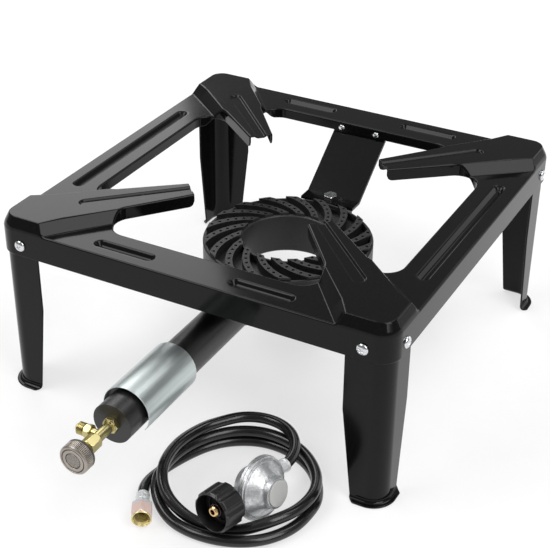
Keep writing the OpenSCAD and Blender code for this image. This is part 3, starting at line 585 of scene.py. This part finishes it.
def build_top_frame():
    P, N, F = [], [], []
    count = [0]

    def add(p, n):
        i = count[0]
        P.append(np.asarray(p, float)); N.append(np.asarray(n, float))
        count[0] += len(p)
        return np.arange(i, i + len(p))

    def ring(edge, out, d, theta, radius):
        xy = edge - out * d
        z = height(xy[:, 0], xy[:, 1]) - radius * (1 - math.cos(theta))
        hn = height_normal(xy[:, 0], xy[:, 1])
        o3 = np.column_stack([out, np.zeros(len(out))])
        n = unit(math.cos(theta) * hn + math.sin(theta) * o3)
        return np.column_stack([xy, z]), n

    def strip(a, b, close):
        m = len(a)
        for i in range(m if close else m - 1):
            j = (i + 1) % m
            F.append((a[i], a[j], b[j], b[i]))

    thetas = np.radians([0, 12, 24, 36, 48, 60, 72, 84, 90])
    # outer edge and skirt; rings run counterclockwise, so (inner, outer) flips
    e, n = outer_ring()
    rows = []
    for t in thetas:
        rows.append(add(*ring(e, n, RO * (1 - math.sin(t)), t, RO)))
    outer0 = rows[0]
    n3 = np.column_stack([n, np.zeros(len(n))])
    ztop = P[-1][:, 2]
    for f in (0.06, 0.3, 0.65, 1.0):
        z = ztop + (ZS + 1 - ztop) * f
        rows.append(add(np.column_stack([e, z]), n3))
    for a, b in zip(rows, rows[1:]):
        strip(b, a, True)
    # opening: four chains with their flanges
    ce, cn = side_chain()
    chain0, tips = [], []
    for k in range(4):
        c, s = [(1, 0), (0, 1), (-1, 0), (0, -1)][k]
        rot = np.array([[c, s], [-s, c]])
        ek, nk = ce @ rot, cn @ rot
        rows = []
        for t in thetas:
            d = RI * (1 - math.sin(t))
            p, nn = ring(ek, nk, d, t, RI)
            # the ends of every row lie on the arm's tip line
            for end, arm in ((0, 45 + 90 * k), (-1, -45 + 90 * k)):
                w = np.array([math.cos(math.radians(arm)), math.sin(math.radians(arm))])
                slide = TIP - p[end, :2] @ w
                p[end, :2] += w * slide
                p[end, 2] = height(p[end, 0], p[end, 1]) - RI * (1 - math.cos(t))
            rows.append(add(p, nn))
        base = P[-1]
        m = np.maximum(np.abs(base[:, 0]), np.abs(base[:, 1]))
        zb = 175.3 - 8.5 * smooth01((m - 146) / 10)
        run = np.concatenate([[0], np.cumsum(np.linalg.norm(np.diff(base[:, :2], axis=0), axis=1))])
        run = np.minimum(run, run[-1] - run)
        r = 5.0
        zb = zb + np.where(run < r, r - np.sqrt(np.maximum(r * r - (r - run)**2, 0)), 0)
        n3 = np.column_stack([nk, np.zeros(len(nk))])
        for f in (0.08, 0.35, 0.7, 1.0):
            z = base[:, 2] + (zb - base[:, 2]) * f
            rows.append(add(np.column_stack([base[:, :2], z]), n3))
        for a, b in zip(rows, rows[1:]):
            strip(b, a, False)
        chain0.append(rows[0])
    allp = np.vstack(P)
    # tip lines
    tip_ids = []
    for k in range(4):
        # the chain k ends at the arm -45+90k, and the chain k-1 starts there
        a, b = chain0[k][-1], chain0[(k - 1) % 4][0]
        pa, pb = allp[a, :2], allp[b, :2]
        s = np.linspace(0, 1, 24)[1:-1, None]
        xy = pa + (pb - pa) * s
        z = height(xy[:, 0], xy[:, 1])
        tip_ids.append(add(np.column_stack([xy, z]), height_normal(xy[:, 0], xy[:, 1])))
    # the plan of the flat part, filled with points and triangulated
    step = 2.2
    g = np.arange(-199, 199.1, step)
    gx, gy = np.meshgrid(g, g)
    gx = gx + (np.arange(gx.shape[0]) % 2)[:, None] * step / 2
    pts = [np.column_stack([gx.ravel(), gy.ravel()])]
    f = np.arange(-199, 199.1, 0.5)
    fx, fy = np.meshgrid(f, f)
    fx = fx + (np.arange(fx.shape[0]) % 2)[:, None] * 0.25
    fine = np.column_stack([fx.ravel(), fy.ravel()])
    e = 0.6
    fine = fine[(outer_distance(fine[:, 0], fine[:, 1]) > 0)
                & (open_distance(fine[:, 0], fine[:, 1]) > 0)]
    zc = height(fine[:, 0], fine[:, 1])
    lap = np.abs(height(fine[:, 0] + e, fine[:, 1]) + height(fine[:, 0] - e, fine[:, 1])
                 + height(fine[:, 0], fine[:, 1] + e) + height(fine[:, 0], fine[:, 1] - e) - 4 * zc)
    bend = lap > 0.05
    fine = fine[bend]
    coarse = pts[0]
    lapc = np.abs(height(coarse[:, 0] + e, coarse[:, 1]) + height(coarse[:, 0] - e, coarse[:, 1])
                  + height(coarse[:, 0], coarse[:, 1] + e) + height(coarse[:, 0], coarse[:, 1] - e)
                  - 4 * height(coarse[:, 0], coarse[:, 1]))
    coarse = coarse[lapc <= 0.05]
    inner = np.vstack([coarse, fine])
    do = outer_distance(inner[:, 0], inner[:, 1])
    di = open_distance(inner[:, 0], inner[:, 1])
    inner = inner[(do > RO + 0.35) & (di > RI + 0.35)]
    u, _ = arm_axes(inner[:, 0], inner[:, 1])
    inner = inner[u > TIP + 0.7]
    z = height(inner[:, 0], inner[:, 1])
    in_ids = add(np.column_stack([inner, z]), height_normal(inner[:, 0], inner[:, 1]))
    allp, alln = np.vstack(P), np.vstack(N)
    loop = []
    for k in range(4):
        loop += list(chain0[k]) + list(tip_ids[(k + 1) % 4][::-1])
    # chain k starts at the arm 45+90k and ends at -45+90k, so the loop goes round backwards
    loop = []
    for k in (0, 3, 2, 1):
        loop += list(chain0[k]) + list(tip_ids[k])
    ids = list(outer0) + loop + list(in_ids)
    local = {g: i for i, g in enumerate(ids)}
    edges = [(local[a], local[b]) for a, b in zip(outer0, np.roll(outer0, -1))]
    edges += [(local[a], local[b]) for a, b in zip(loop, loop[1:] + loop[:1])]
    verts = [Vector((allp[i, 0], allp[i, 1])) for i in ids]
    res = delaunay_2d_cdt(verts, edges, [], 0, 1e-6, True)
    vo, fo, back = res[0], res[2], res[3]
    orig = [b[0] if b else -1 for b in back]
    vo = np.array([tuple(v) for v in vo])
    tri = np.array([f for f in fo if len(f) == 3])
    c = vo[tri].mean(1)
    u, v = arm_axes(c[:, 0], c[:, 1])
    side = (TIP_H + ARM_K * (u - TIP) - v) / ARM_S
    inside = np.where(u < TIP + 5, side, open_distance(c[:, 0], c[:, 1]))
    keep = (outer_distance(c[:, 0], c[:, 1]) > RO - 0.02) & (inside > RI - 0.3) & (u > TIP)
    # thin triangles that span an opening's fillet lie outside the sheet
    edge_ids = set(int(i) for ch in chain0 for i in ch)
    for t in tri[keep]:
        a, b, d = (orig[i] for i in t)
        if min(a, b, d) < 0 or all(int(ids[i]) in edge_ids for i in (a, b, d)):
            continue
        q = vo[t]
        area = (q[1, 0] - q[0, 0]) * (q[2, 1] - q[0, 1]) - (q[1, 1] - q[0, 1]) * (q[2, 0] - q[0, 0])
        if abs(area) < 1e-7:
            continue
        tr = (ids[a], ids[b], ids[d])
        F.append(tr if area > 0 else tr[::-1])
    p, n, faces = shell(allp, alln, F, 2.0)
    obj = make("top_frame_sheet", p, faces, n, "enamel", "stand")
    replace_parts(obj, "top_frame")
    return obj


build_top_frame()


# ---------------------------------------------------------------- legs
def build_leg(name, mx, my):
    """Folded leg with a rolled foot, for the corner with signs mx, my."""
    zs_, es = [], []
    for z in (174.6, 160, 140, 120, 104, 94, 80, 60, 40, 25, 15, 9, 5.5):
        zs_.append(z); es.append(0.0)
    for a in np.radians([12, 26, 40, 54, 68, 80, 90]):
        es.append(3.5 * (1 - math.cos(a))); zs_.append(5.5 - 3.5 * math.sin(a))
    nf = len(zs_)
    for e in (4.05, 4.55):
        es.append(e); zs_.append(2.0)
    tang = np.gradient(np.array(es)), np.gradient(np.array(zs_))
    nz = [0.0] * 13 + [math.sin(a) for a in np.radians([12, 26, 40, 54, 68, 80, 90])] + [1.0, 1.0]
    arc = np.radians(np.linspace(0, 90, 19))
    pts, nrm = [], []
    for z, e, k in zip(zs_, es, nz):
        fe = 157.0 if z >= 94 else 157.0 + 10.5 * (94 - z) / 92
        fe += 1.2 * max(0, e - 1)
        h = math.sqrt(1 - k * k)
        row = []
        r = 16.95 + e
        for s in np.linspace(0, 1, 9)[:-1]:
            row.append((181 + r, fe + (181 - fe) * s, 1, 0))
        for a in arc:
            row.append((181 + r * math.cos(a), 181 + r * math.sin(a), math.cos(a), math.sin(a)))
        for s in np.linspace(0, 1, 9)[1:]:
            row.append((181 + (fe - 181) * s, 181 + r, 0, 1))
        for x, y, a, b in row:
            pts.append((x * mx, y * my, z))
            nrm.append((a * h * mx, b * h * my, k))
    cols = len(row)
    f = grid_faces(len(zs_), cols, flip=(mx * my > 0))
    f = [q for q in f]
    p, n, faces = shell(np.array(pts), np.array(nrm), f, 2.0)
    return make(name + "_sheet", p, faces, n, "enamel", "stand")


for nm, sx, sy in (("leg_rear_right", 1, 1), ("leg_rear_left", -1, 1),
                   ("leg_front_right", 1, -1), ("leg_front_left", -1, -1)):
    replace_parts(build_leg(nm, sx, sy), nm)


# ---------------------------------------------------------------- softened CAD pieces
def softened(node, width, mat=None, segments=3, angle=25, body=None, name=None,
             dissolve=0.6):
    """A copy of a CAD node with its sharp edges rounded, which replaces it."""
    src = NODES[node]
    me = src.data.copy()
    bm = bmesh.new()
    bm.from_mesh(me)
    bmesh.ops.remove_doubles(bm, verts=bm.verts, dist=2e-6)
    bmesh.ops.dissolve_limit(bm, angle_limit=math.radians(dissolve), verts=bm.verts,
                             edges=bm.edges)
    bm.to_mesh(me)
    bm.free()
    me.name = (name or node + "_soft")
    obj = bpy.data.objects.new(name or node + "_soft", me)
    scene.collection.objects.link(obj)
    if me.has_custom_normals:
        me.attributes.remove(me.attributes["custom_normal"])
    me.polygons.foreach_set("use_smooth", [True] * len(me.polygons))
    me.set_sharp_from_angle(angle=math.radians(angle))
    mod = obj.modifiers.new("round", "BEVEL")
    mod.width = width / 1000
    mod.segments = segments
    mod.limit_method = "ANGLE"
    mod.angle_limit = math.radians(angle)
    mod.harden_normals = True
    mod.use_clamp_overlap = True
    dg = bpy.context.evaluated_depsgraph_get()
    new = bpy.data.meshes.new_from_object(obj.evaluated_get(dg))
    obj.modifiers.clear()
    obj.data = new
    new.name = me.name + "_mesh"
    paint(obj, mat or SLOTS.get(node, "zinc_plate"))
    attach(obj, body or src["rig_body"])
    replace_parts(obj, node)
    return obj


for nm in NODES:
    mat = SLOTS.get(nm, "zinc_plate")
    paint(NODES[nm], "tube" if nm == "mixing_tube" else mat)

SOFT = {
    "bracket_rivets": 0.3, "burner_bolts": 0.4, "burner_nut": 0.4,
    "burner_bracket_front": 0.8, "burner_bracket_rear": 0.8,
    "mixing_tube": 0.8, "regulator_body": 0.8,
    "retaining_collar": 0.4, "thermal_bushing": 0.4,
}
soft = {}
for nm, w in SOFT.items():
    soft[nm] = softened(nm, w, mat="tube" if nm == "mixing_tube" else None)


# ---------------------------------------------------------------- turned pieces
def outline(points, seg=3, loop=False):
    """Profile (h, r, fillet) with its corners rounded and held by close points."""
    out, n = [], len(points)
    for i, p in enumerate(points):
        at = np.array(p[:2], float)
        f = p[2] if len(p) > 2 else 0
        if not f or (not loop and i in (0, n - 1)):
            out.append(at)
            continue
        a = np.array(points[(i - 1) % n][:2], float) - at
        b = np.array(points[(i + 1) % n][:2], float) - at
        la, lb = np.linalg.norm(a), np.linalg.norm(b)
        a, b = a / la, b / lb
        half = math.acos(float(np.clip(a @ b, -1, 1))) / 2
        d = min(f / math.tan(half), 0.42 * la, 0.42 * lb)
        s, e = at + a * d, at + b * d
        out.append(at + a * (d + min(0.15, 0.3 * (la - d))))
        for t in np.linspace(0, 1, seg + 1):
            out.append((1 - t)**2 * s + 2 * t * (1 - t) * at + t * t * e)
        out.append(at + b * (d + min(0.15, 0.3 * (lb - d))))
    return np.array(out)


def spin(profile, place, cols=96, shape=None, loop=False):
    """Points and faces of a profile turned round an axis. place is (origin, X, Y, Z) in millimetres of the row's frame; shape(theta, h, r) may change h and r."""
    o, X, Y, Z = (np.array(v, float) for v in place)
    th = np.linspace(0, 2 * math.pi, cols, endpoint=False)
    h = np.repeat(profile[:, 0][:, None], cols, 1)
    r = np.repeat(profile[:, 1][:, None], cols, 1)
    t = np.repeat(th[None, :], len(profile), 0)
    if shape:
        h, r = shape(t, h, r)
    p = (o + (r * np.cos(t))[..., None] * X + (r * np.sin(t))[..., None] * Y
         + h[..., None] * Z).reshape(-1, 3)
    f = grid_faces(len(profile), cols, close=True)
    if loop:
        k = (len(profile) - 1) * cols
        f += [(k + j, k + (j + 1) % cols, (j + 1) % cols, j) for j in range(cols)]
    return p / 1000, f


def turned(name, node, parts, mat=None, sharp=38, second=None):
    """One object from several turned solids; it replaces the node."""
    P, F, n = [], [], 0
    for p, f in parts:
        P.append(p)
        F += [tuple(i + n for i in q) for q in f]
        n += len(p)
    me = bpy.data.meshes.new(name)
    me.from_pydata(np.vstack(P).tolist(), [], F)
    bm = bmesh.new()
    bm.from_mesh(me)
    bmesh.ops.remove_doubles(bm, verts=bm.verts, dist=1e-7)
    bmesh.ops.dissolve_degenerate(bm, dist=1e-7, edges=bm.edges)
    bmesh.ops.recalc_face_normals(bm, faces=bm.faces)
    bm.to_mesh(me)
    bm.free()
    me.polygons.foreach_set("use_smooth", [True] * len(me.polygons))
    me.set_sharp_from_angle(angle=math.radians(sharp))
    obj = bpy.data.objects.new(name, me)
    scene.collection.objects.link(obj)
    paint(obj, mat or SLOTS.get(node, "zinc_plate"))
    for k, (extra, where) in enumerate(second or []):
        me.materials.append(M[extra])
        for poly in me.polygons:
            if where(np.array(poly.center) * 1000):
                poly.material_index = k + 1
    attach(obj, NODES[node]["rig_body"])
    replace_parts(obj, node)
    return obj


def rot(axis, deg):
    return np.array(Matrix.Rotation(math.radians(deg), 3, axis))


def gas_place(y):
    return (0, SY + y, 96), (1, 0, 0), (0, 0, 1), (0, -1, 0)


REG = rot("Z", 78.8) @ rot("Y", 5.7) @ rot("X", 78.5)
REG_O = np.array([100.4, SY - 251.4, 27])
REG_CAP = (REG_O, REG[:, 0], REG[:, 1], REG[:, 2])
REG_LINE = (REG_O, -REG[:, 2], REG[:, 1], REG[:, 0])
END = rot("Z", -59.3)
END_LINE = (np.array([12.5, SY - 290.7, 9.9]), -END[:, 2], END[:, 1], END[:, 0])
INLET = ((0, SY - 328, 96), (0, 0, 1), (0, 1, 0), (-1, 0, 0))


def hexagon(corner, phase=0.0):
    """Radius of a hexagon with the given corner radius, over the angle."""
    def f(t):
        a = np.mod(np.degrees(t) - phase, 60) - 30
        return corner * math.cos(math.radians(30)) / np.cos(np.radians(a))
    return f


def hex_rows(h0, h1, corner, lo, hi, phase=0.0, seam=0.12):
    """Profile and shape of a hexagon nut with turned chamfers. lo and hi are (radius at the face, height of the chamfer)."""
    rows = [(h0, 0.0), (h0, lo[0])]
    rows += [(h0 + lo[1] * s, corner) for s in np.linspace(0, 1, 9)[1:]]
    rows += [(h, corner) for h in np.linspace(h0 + lo[1], h1 - hi[1], 4)[1:-1]]
    rows += [(h1 - hi[1] * s, corner) for s in np.linspace(1, 0, 9)[:-1]]
    rows += [(h1, hi[0]), (h1, 0.0)]
    six = hexagon(corner, phase)

    def shape(t, h, r):
        lim = np.minimum(lo[0] + (h - h0) / lo[1] * (corner - lo[0]),
                         hi[0] + (h1 - h) / hi[1] * (corner - hi[0]))
        body = np.minimum(six(t), np.maximum(lim, 0.1))
        return h, np.where(r > min(lo[0], hi[0]) - 0.01, body, r)
    return np.array(rows), shape


def knob():
    a = outline([(0, 0), (0, 13.1, 0.3), (0.9, 13.6, 0.25), (1.5, 13.6, 0.2),
                 (1.9, 12.9, 0.15), (2.3, 13.3)])
    mid = np.array([(h, 13.3) for h in np.arange(2.45, 10.36, 0.19)])
    b = outline([(10.4, 13.3), (10.8, 13.5, 0.3), (12.0, 12.4, 0.6), (12.0, 11.0, 0.1),
                 (11.5, 10.75, 0.1), (11.5, 10.25, 0.1), (12.0, 10.0, 0.1),
                 (12.0, 7.35, 0.1), (11.5, 7.1, 0.1), (11.5, 6.6, 0.1),
                 (11.9, 6.35, 0.1), (11.9, 0.0)])

    def shape(t, h, r):
        rib = np.minimum(1, 1.5 * np.abs(np.sin(30 * t)))
        row = 0.55 + 0.45 * np.minimum(1, 2.2 * np.abs(np.sin((h - 2.4) * math.pi / 1.33)))
        grip = (h > 2.35) & (h < 10.4) & (r > 13)
        return h, np.where(grip, 12.75 + 0.8 * rib * row, r)

    # painted shade: the knurl valleys and the face's ring grooves take the dark knob material in place of the shade in
    # these recesses; the band at the back is the knob's own dark rim
    def valley(c):
        r = math.hypot(c[0], c[2] - 96)
        return (c[1] > SY - 354 - 1.9 or c[1] > SY - 354 - 10.3 and r < 13.12
                or c[1] > SY - 354 - 11.8 and r < 11.1)

    def middle(c):
        return c[1] < SY - 354 - 11.3 and math.hypot(c[0], c[2] - 96) < 6.3
    return turned("valve_knob_turned", "valve_knob",
                  [spin(np.vstack([a, mid, b]), gas_place(-354), 480, shape)],
                  "knob_zinc", 50, [("knob_back_rim_and_groove_shade", valley), ("knob_face", middle)])


def valve_pieces():
    barrel = outline([(0, 0), (0, 5.1, 0.3), (15, 5.1, 0.2), (15, 4.75, 0.1),
                      (31.4, 4.75, 0.5), (32.1, 5.4, 0.3), (32.6, 5.4), (32.6, 0)])
    nut, sh = hex_rows(32, 45, 7.22, (6.2, 1.1), (6.3, 1.3), 30)
    branch = outline([(0, 0), (0, 3.9, 0.2), (8, 3.9, 0.3), (8, 0)])
    side = ((0, SY - 328, 96), (0, 0, 1), (0, 1, 0), (-1, 0, 0))
    turned("valve_body_turned", "valve_body",
           [spin(barrel, gas_place(-302), 96), spin(nut, gas_place(-302), 96, sh),
            spin(branch, side, 64)])
    nut, sh = hex_rows(0, 4.1, 7.68, (7.3, 0.5), (6.5, 1.0), 0)
    ring = outline([(3.6, 0), (3.6, 6.2, 0.2), (5.0, 6.0, 0.45), (5.0, 0)])
    turned("valve_lock_nut_turned", "valve_lock_nut",
           [spin(nut, gas_place(-311), 96, sh), spin(ring, gas_place(-311), 96)])
    nut, sh = hex_rows(0, 4.9, 5.48, (5.2, 0.4), (4.7, 0.8), 0)
    turned("valve_packing_nut_turned", "valve_packing_nut",
           [spin(nut, gas_place(-347), 96, sh)])
    nut, sh = hex_rows(8, 14, 6.35, (5.5, 0.9), (5.5, 0.9), 0)
    neck = [(3.4, 0), (3.4, 2.55), (8.2, 2.55), (8.2, 4.8), (14.6, 4.8)]
    for i in range(6):
        neck += [(15.0 + i, 4.95), (15.25 + i, 5.55, 0.05), (15.6 + i, 5.55, 0.05)]
    neck += [(21.1, 4.9, 0.3), (23.2, 2.7, 0.3), (23.2, 1.6, 0.1), (21.5, 1.6), (21.5, 0)]
    turned("inlet_fitting_turned", "inlet_fitting",
           [spin(nut, INLET, 96, sh), spin(outline(neck), INLET, 72)])


def regulator_pieces():
    cover = outline([(8.62, 26.2), (8.62, 28.35, 0.3), (10.9, 28.35, 0.9), (11.6, 27.2, 0.3),
                     (11.35, 26.7, 0.3), (12.55, 26.3, 0.6), (12.7, 25.6, 0.6),
                     (11.75, 24.75, 0.4), (12.5, 23.9, 0.5), (20.6, 16.2, 0.9),
                     (21.2, 15.2, 0.4), (21.7, 14.4, 0.4), (21.7, 13.6, 0.3),
                     (27.0, 13.5, 0.6), (27.0, 11.9, 0.1), (25.5, 11.85, 0.1),
                     (25.5, 10.7), (20.4, 10.7), (20.4, 12.5), (11.3, 22.0), (9.4, 22.0),
                     (9.4, 26.1)], loop=True)

    def spokes(t, h, r):
        # shallow cast pads between the boss and the cone
        pad = 0.5 + 0.5 * np.tanh(4 * np.sin(18 * t))
        z = np.exp(-((r - 15.0) / 0.9) ** 2)
        return h + np.where(h > 20.4, 0.28 * pad * z, 0), r
    turned("regulator_cover_turned", "regulator_cover",
           [spin(cover, REG_CAP, 144, spokes, loop=True)], None, 50)
    cap = outline([(25.45, 0), (25.45, 11.75, 0.2), (28.5, 11.75, 0.8), (28.5, 0)], 5)
    turned("regulator_cap_turned", "regulator_cap", [spin(cap, REG_CAP, 96)])
    tube = outline([(32.0, 3.2), (31.1, 5.4, 0.5), (31.1, 6.5, 0.5), (33.4, 6.6, 0.2),
                    (33.9, 6.25, 0.2), (41.0, 6.25, 0.2), (41.4, 6.6, 0.2),
                    (43.5, 6.5, 0.5), (43.5, 5.1, 0.1), (42.5, 5.05)])

    def crimp(t, h, r):
        on = (h > 34.0) & (h < 40.9) & (r > 5.5)
        return h, np.where(on, np.minimum(r, hexagon(6.75, 12)(t)), r)
    turned("hose_ferrule_regulator_turned", "hose_ferrule_regulator",
           [spin(tube, REG_LINE, 96, crimp)], "ferrule", 30)


def tank_nut():
    nr = 18.4
    prof = outline([(-55, 16.75, 0.25), (-55, 17.1, 0.3), (-54.6, 17.45), (-54.1, 17.65),
                    (-53.5, 17.8), (-52.9, 17.9), (-52.2, 17.95), (-50.5, 18.0),
                    (-46, 18.1), (-41, 18.2), (-36, 18.3), (-34.4, 18.3), (-33.6, 18.3),
                    (-32.9, 18.1), (-32.35, 17.6), (-32, 16.9, 0.3), (-32, 9.6, 0.2),
                    (-32.4, 9.45), (-38.9, 9.45), (-39.0, 16.3), (-54.4, 16.35)], loop=True)

    def ribs(t, h, r):
        a = np.mod(np.degrees(t) - 10 + 22.5, 45) - 22.5
        s = np.abs(np.radians(a)) * nr
        rise = 0.95 * (1 - smooth01((s - 3.6) / 1.2)) - 0.85 * smooth01((s - 4.6) / 1.6)
        grow = smooth01((h + 54.5) / 1.2) * smooth01((-32.6 - h) / 1.2)
        fade = np.where(rise > 0, grow, 0.45 + 0.55 * grow)
        return h, np.where((r > 16.9) & (h > -54.9), r + rise * fade, r)

    # painted shade: the nut's bore takes a near-black material standing in for the shade inside the nut
    def bore(c):
        d = c - REG_O
        x = d @ REG[:, 0]
        return x < -38.5 and np.linalg.norm(d - x * REG[:, 0]) < 16.6
    turned("tank_nut_turned", "tank_nut", [spin(prof, REG_LINE, 240, ribs, loop=True)],
           None, 42, [("inner_shade_black", bore)])
    nip = outline([(-53, 2.4, 0.2), (-53, 3.8, 0.5), (-51.5, 5.0, 0.5), (-49.6, 5.0, 0.15),
                   (-49.4, 4.5), (-47.6, 4.5), (-47.4, 5.0, 0.15), (-42, 5.0, 0.3),
                   (-42, 12.0, 0.3), (-39.6, 12.0, 0.2), (-39.6, 9.3), (-31.8, 9.3),
                   (-31.8, 7.0), (-29.3, 7.0), (-29.3, 5.0), (-22.2, 5.0), (-22.2, 2.4)],
                  loop=True)

    # painted shade: the nipple's part inside the nut takes the same near-black material, for the shade there
    def inside_nut_shade(c):
        d = c - REG_O
        x = d @ REG[:, 0]
        r = np.linalg.norm(d - x * REG[:, 0])
        return x > -42.6 and r > 5.1
    turned("inlet_nipple_turned", "inlet_nipple", [spin(nip, REG_LINE, 96, loop=True)],
           "orange_brass", 40, [("inner_shade_black", inside_nut_shade)])


def hose_nut():
    six = hexagon(9.85, 0)
    prof = [(10.9, 3.3), (10.9, 6.6, 0.2), (12.0, 7.4)]
    prof += [(h, 9.85) for h in np.linspace(12.3, 16.2, 12)]
    prof += [(h, 9.85) for h in (18, 21, 24, 26)]
    prof += [(h, 9.85) for h in np.linspace(26.6, 30.6, 14)]
    prof += [(31.0, 8.6, 0.15), (31.7, 8.3, 0.3), (31.7, 7.75, 0.15), (28.2, 6.1, 0.8),
             (19.3, 5.6), (19.3, 6.4), (14.2, 6.4), (14.2, 3.3)]

    def shape(t, h, r):
        back = 7.3 + (h - 12.0) * 0.72
        front = 8.55 + (30.8 - h) * 0.9
        body = np.minimum(six(t), np.minimum(back, front))
        return h, np.where((r > 9.6), body, r)
    hose_end = END_LINE
    o, Z = hose_end[0], hose_end[3]

    def mouth(c):
        d = c - o
        x = d @ Z
        r = np.linalg.norm(d - x * Z)
        return x > 30.75 or r < 7.9 and x > 14

    def tail(c):
        return (c - o) @ Z < 17.2
    a = turned("hose_swivel_nut_turned", "hose_swivel_nut",
               [spin(outline(prof, loop=True), hose_end, 144, shape, loop=True)],
               "copper_brass", 30, [("ferrule", tail), ("brass_pale", mouth)])
    tube = outline([(-0.2, 5.1, 0.1), (0, 5.9, 0.3), (1.2, 5.95, 0.2), (1.5, 6.2, 0.2),
                    (3.2, 6.2, 0.2), (3.6, 6.15, 0.1), (5.0, 6.15), (6.4, 6.15, 0.1),
                    (8.6, 6.2, 0.2), (8.9, 5.95, 0.2), (10.4, 5.8, 0.4), (10.4, 3.3)])
    flats = hexagon(6.5, 0)

    def crimp(t, h, r):
        on = (h > 3.4) & (h < 8.7) & (r > 5.9)
        return h, np.where(on, np.minimum(r, flats(t)), r)
    b = turned("hose_ferrule_flare_turned", "hose_ferrule_flare",
               [spin(tube, hose_end, 96, crimp)], "ferrule", 30)
    return a, b


def leg_screw_heads():
    rows = [(-12, 0.0), (-12, 2.6), (-11.6, 2.95), (-0.4, 2.95), (0.0, 2.95), (0.0, 5.35),
            (0.12, 5.5), (0.9, 5.5), (1.25, 5.42), (1.6, 5.2), (1.95, 4.85), (2.3, 4.4),
            (2.6, 3.9), (2.82, 3.4), (2.95, 3.05)]
    rows += [(3.0 + 0.2 * (1 - (r / 3.0) ** 2), r) for r in np.linspace(2.8, 0.0, 15)]
    rows = np.array(rows)

    def cross(t, h, r):
        x, y = np.abs(r * np.cos(t)), np.abs(r * np.sin(t))
        cut = smooth01((0.75 - np.minimum(x, y)) / 0.35) * smooth01((2.75 - r) / 0.5)
        return np.where(h > 2.5, h - 0.9 * cut, h), r
    parts = []
    for k in range(4):
        a = math.radians(90 * k)
        c, s = math.cos(a), math.sin(a)
        for side in (-1, 1):
            x, y = side * (CC - 8), -200.0
            at = np.array([x * c - y * s, x * s + y * c + SY, ZR - 15.5])
            X, Z = np.array([c, s, 0]), np.array([s, -c, 0])
            turn = math.radians(25 + 37 * (2 * k + (side > 0)))
            Y = np.array([0, 0, 1.0])
            X2 = math.cos(turn) * X + math.sin(turn) * Y
            Y2 = -math.sin(turn) * X + math.cos(turn) * Y
            parts.append(spin(rows, (at, X2, Y2, Z), 72, cross))
    return turned("leg_screws_turned", "leg_screws", parts, "chrome", 50)


def build_sleeve():
    """The sprung sheet sleeve, open underneath, with thin rounded edges."""
    th = np.radians(np.linspace(-37.1, 217.1, 161))
    hs = np.concatenate([[0.35], np.linspace(1.0, 75.0, 12), [75.65]])
    c, z = np.cos(th), np.sin(th)
    pts = np.array([[(23 * a, -214.5 - h, 96 + 23 * b) for a, b in zip(c, z)] for h in hs])
    nrm = np.array([[(a, 0, b) for a, b in zip(c, z)] for h in hs])
    p, n, faces = shell(pts.reshape(-1, 3), nrm.reshape(-1, 3),
                        grid_faces(len(hs), len(th)), 0.7)
    obj = make("air_shutter_sheet", p, faces, n, "galvanised",
               NODES["air_shutter"]["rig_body"])
    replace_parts(obj, "air_shutter")


build_sleeve()
knob()
valve_pieces()
regulator_pieces()
tank_nut()
soft["hose_swivel_nut"], soft["hose_ferrule_flare"] = hose_nut()
leg_screw_heads()


# ---------------------------------------------------------------- floor and light
def build_stage():
    me = bpy.data.meshes.new("floor")
    s = 6.0
    me.from_pydata([(-s, -s, -0.0003), (s, -s, -0.0003), (s, s, -0.0003), (-s, s, -0.0003)],
                   [], [(0, 1, 2, 3)])
    floor = bpy.data.objects.new("floor", me)
    scene.collection.objects.link(floor)
    m = material("floor_paper", (0.35, 0.35, 0.35), 0.9, spec=0.0)
    g = tex(m, scale=40, detail=3)
    put(m, "Base Color", mix(m, g, (0.34, 0.34, 0.34), (0.36, 0.36, 0.36)))
    b = m.node_tree.nodes["Principled BSDF"]
    b.inputs["Emission Color"].default_value = (1, 1, 1, 1)
    b.inputs["Emission Strength"].default_value = 0.60
    me.materials.append(m)


build_stage()


def area(name, loc, target, size, power, size_y=None):
    d = bpy.data.lights.new(name, "AREA")
    d.shape = "RECTANGLE"
    d.size, d.size_y = size, size_y or size
    d.energy = power
    o = bpy.data.objects.new(name, d)
    v = Vector(target) - Vector(loc)
    o.rotation_mode = "QUATERNION"
    o.rotation_quaternion = v.to_track_quat("-Z", "Y")
    o.location = loc
    scene.collection.objects.link(o)
    return o


def softbox(name, az, el, width, height, radiance, reach=2.6):
    """A large lamp that faces the stand from azimuth az and elevation el."""
    a, e = math.radians(az), math.radians(el)
    aim = Vector((0, SY / 1000, 0.12))
    at = aim + reach * Vector((math.cos(e) * math.cos(a), math.cos(e) * math.sin(a),
                               math.sin(e)))
    w = 2 * reach * math.tan(math.radians(width / 2))
    h = 2 * reach * math.tan(math.radians(height / 2))
    return area(name, at, aim, w, math.pi * radiance * w * h, h)


def build_light():
    """A dim even surround and the softboxes."""
    w = bpy.data.worlds.new("studio")
    scene.world = w
    w.use_nodes = True
    bg = w.node_tree.nodes["Background"]
    bg.inputs["Color"].default_value = (AROUND, AROUND, AROUND, 1)
    for row in BOXES:
        softbox(*row)


AROUND = 0.27
# name, azimuth, elevation, width and height in degrees, radiance
BOXES = [("box_left", 138, 40, 26, 42, 2.6),
         ("box_left_low", 133, 12, 30, 13, 1.2),
         ("box_right", -24, 42, 30, 44, 4.1),
         ("box_front_left", -145, 50, 44, 22, 5.2),
         ("box_rear_right", 45, 60, 24, 20, 3.5),
         ("box_rear_right_low", 52, 13, 40, 23, 1.1),
         ("box_rear", 88, 42, 24, 16, 0.9),
         ("box_above", 0, 89, 56, 56, 0.4)]
build_light()
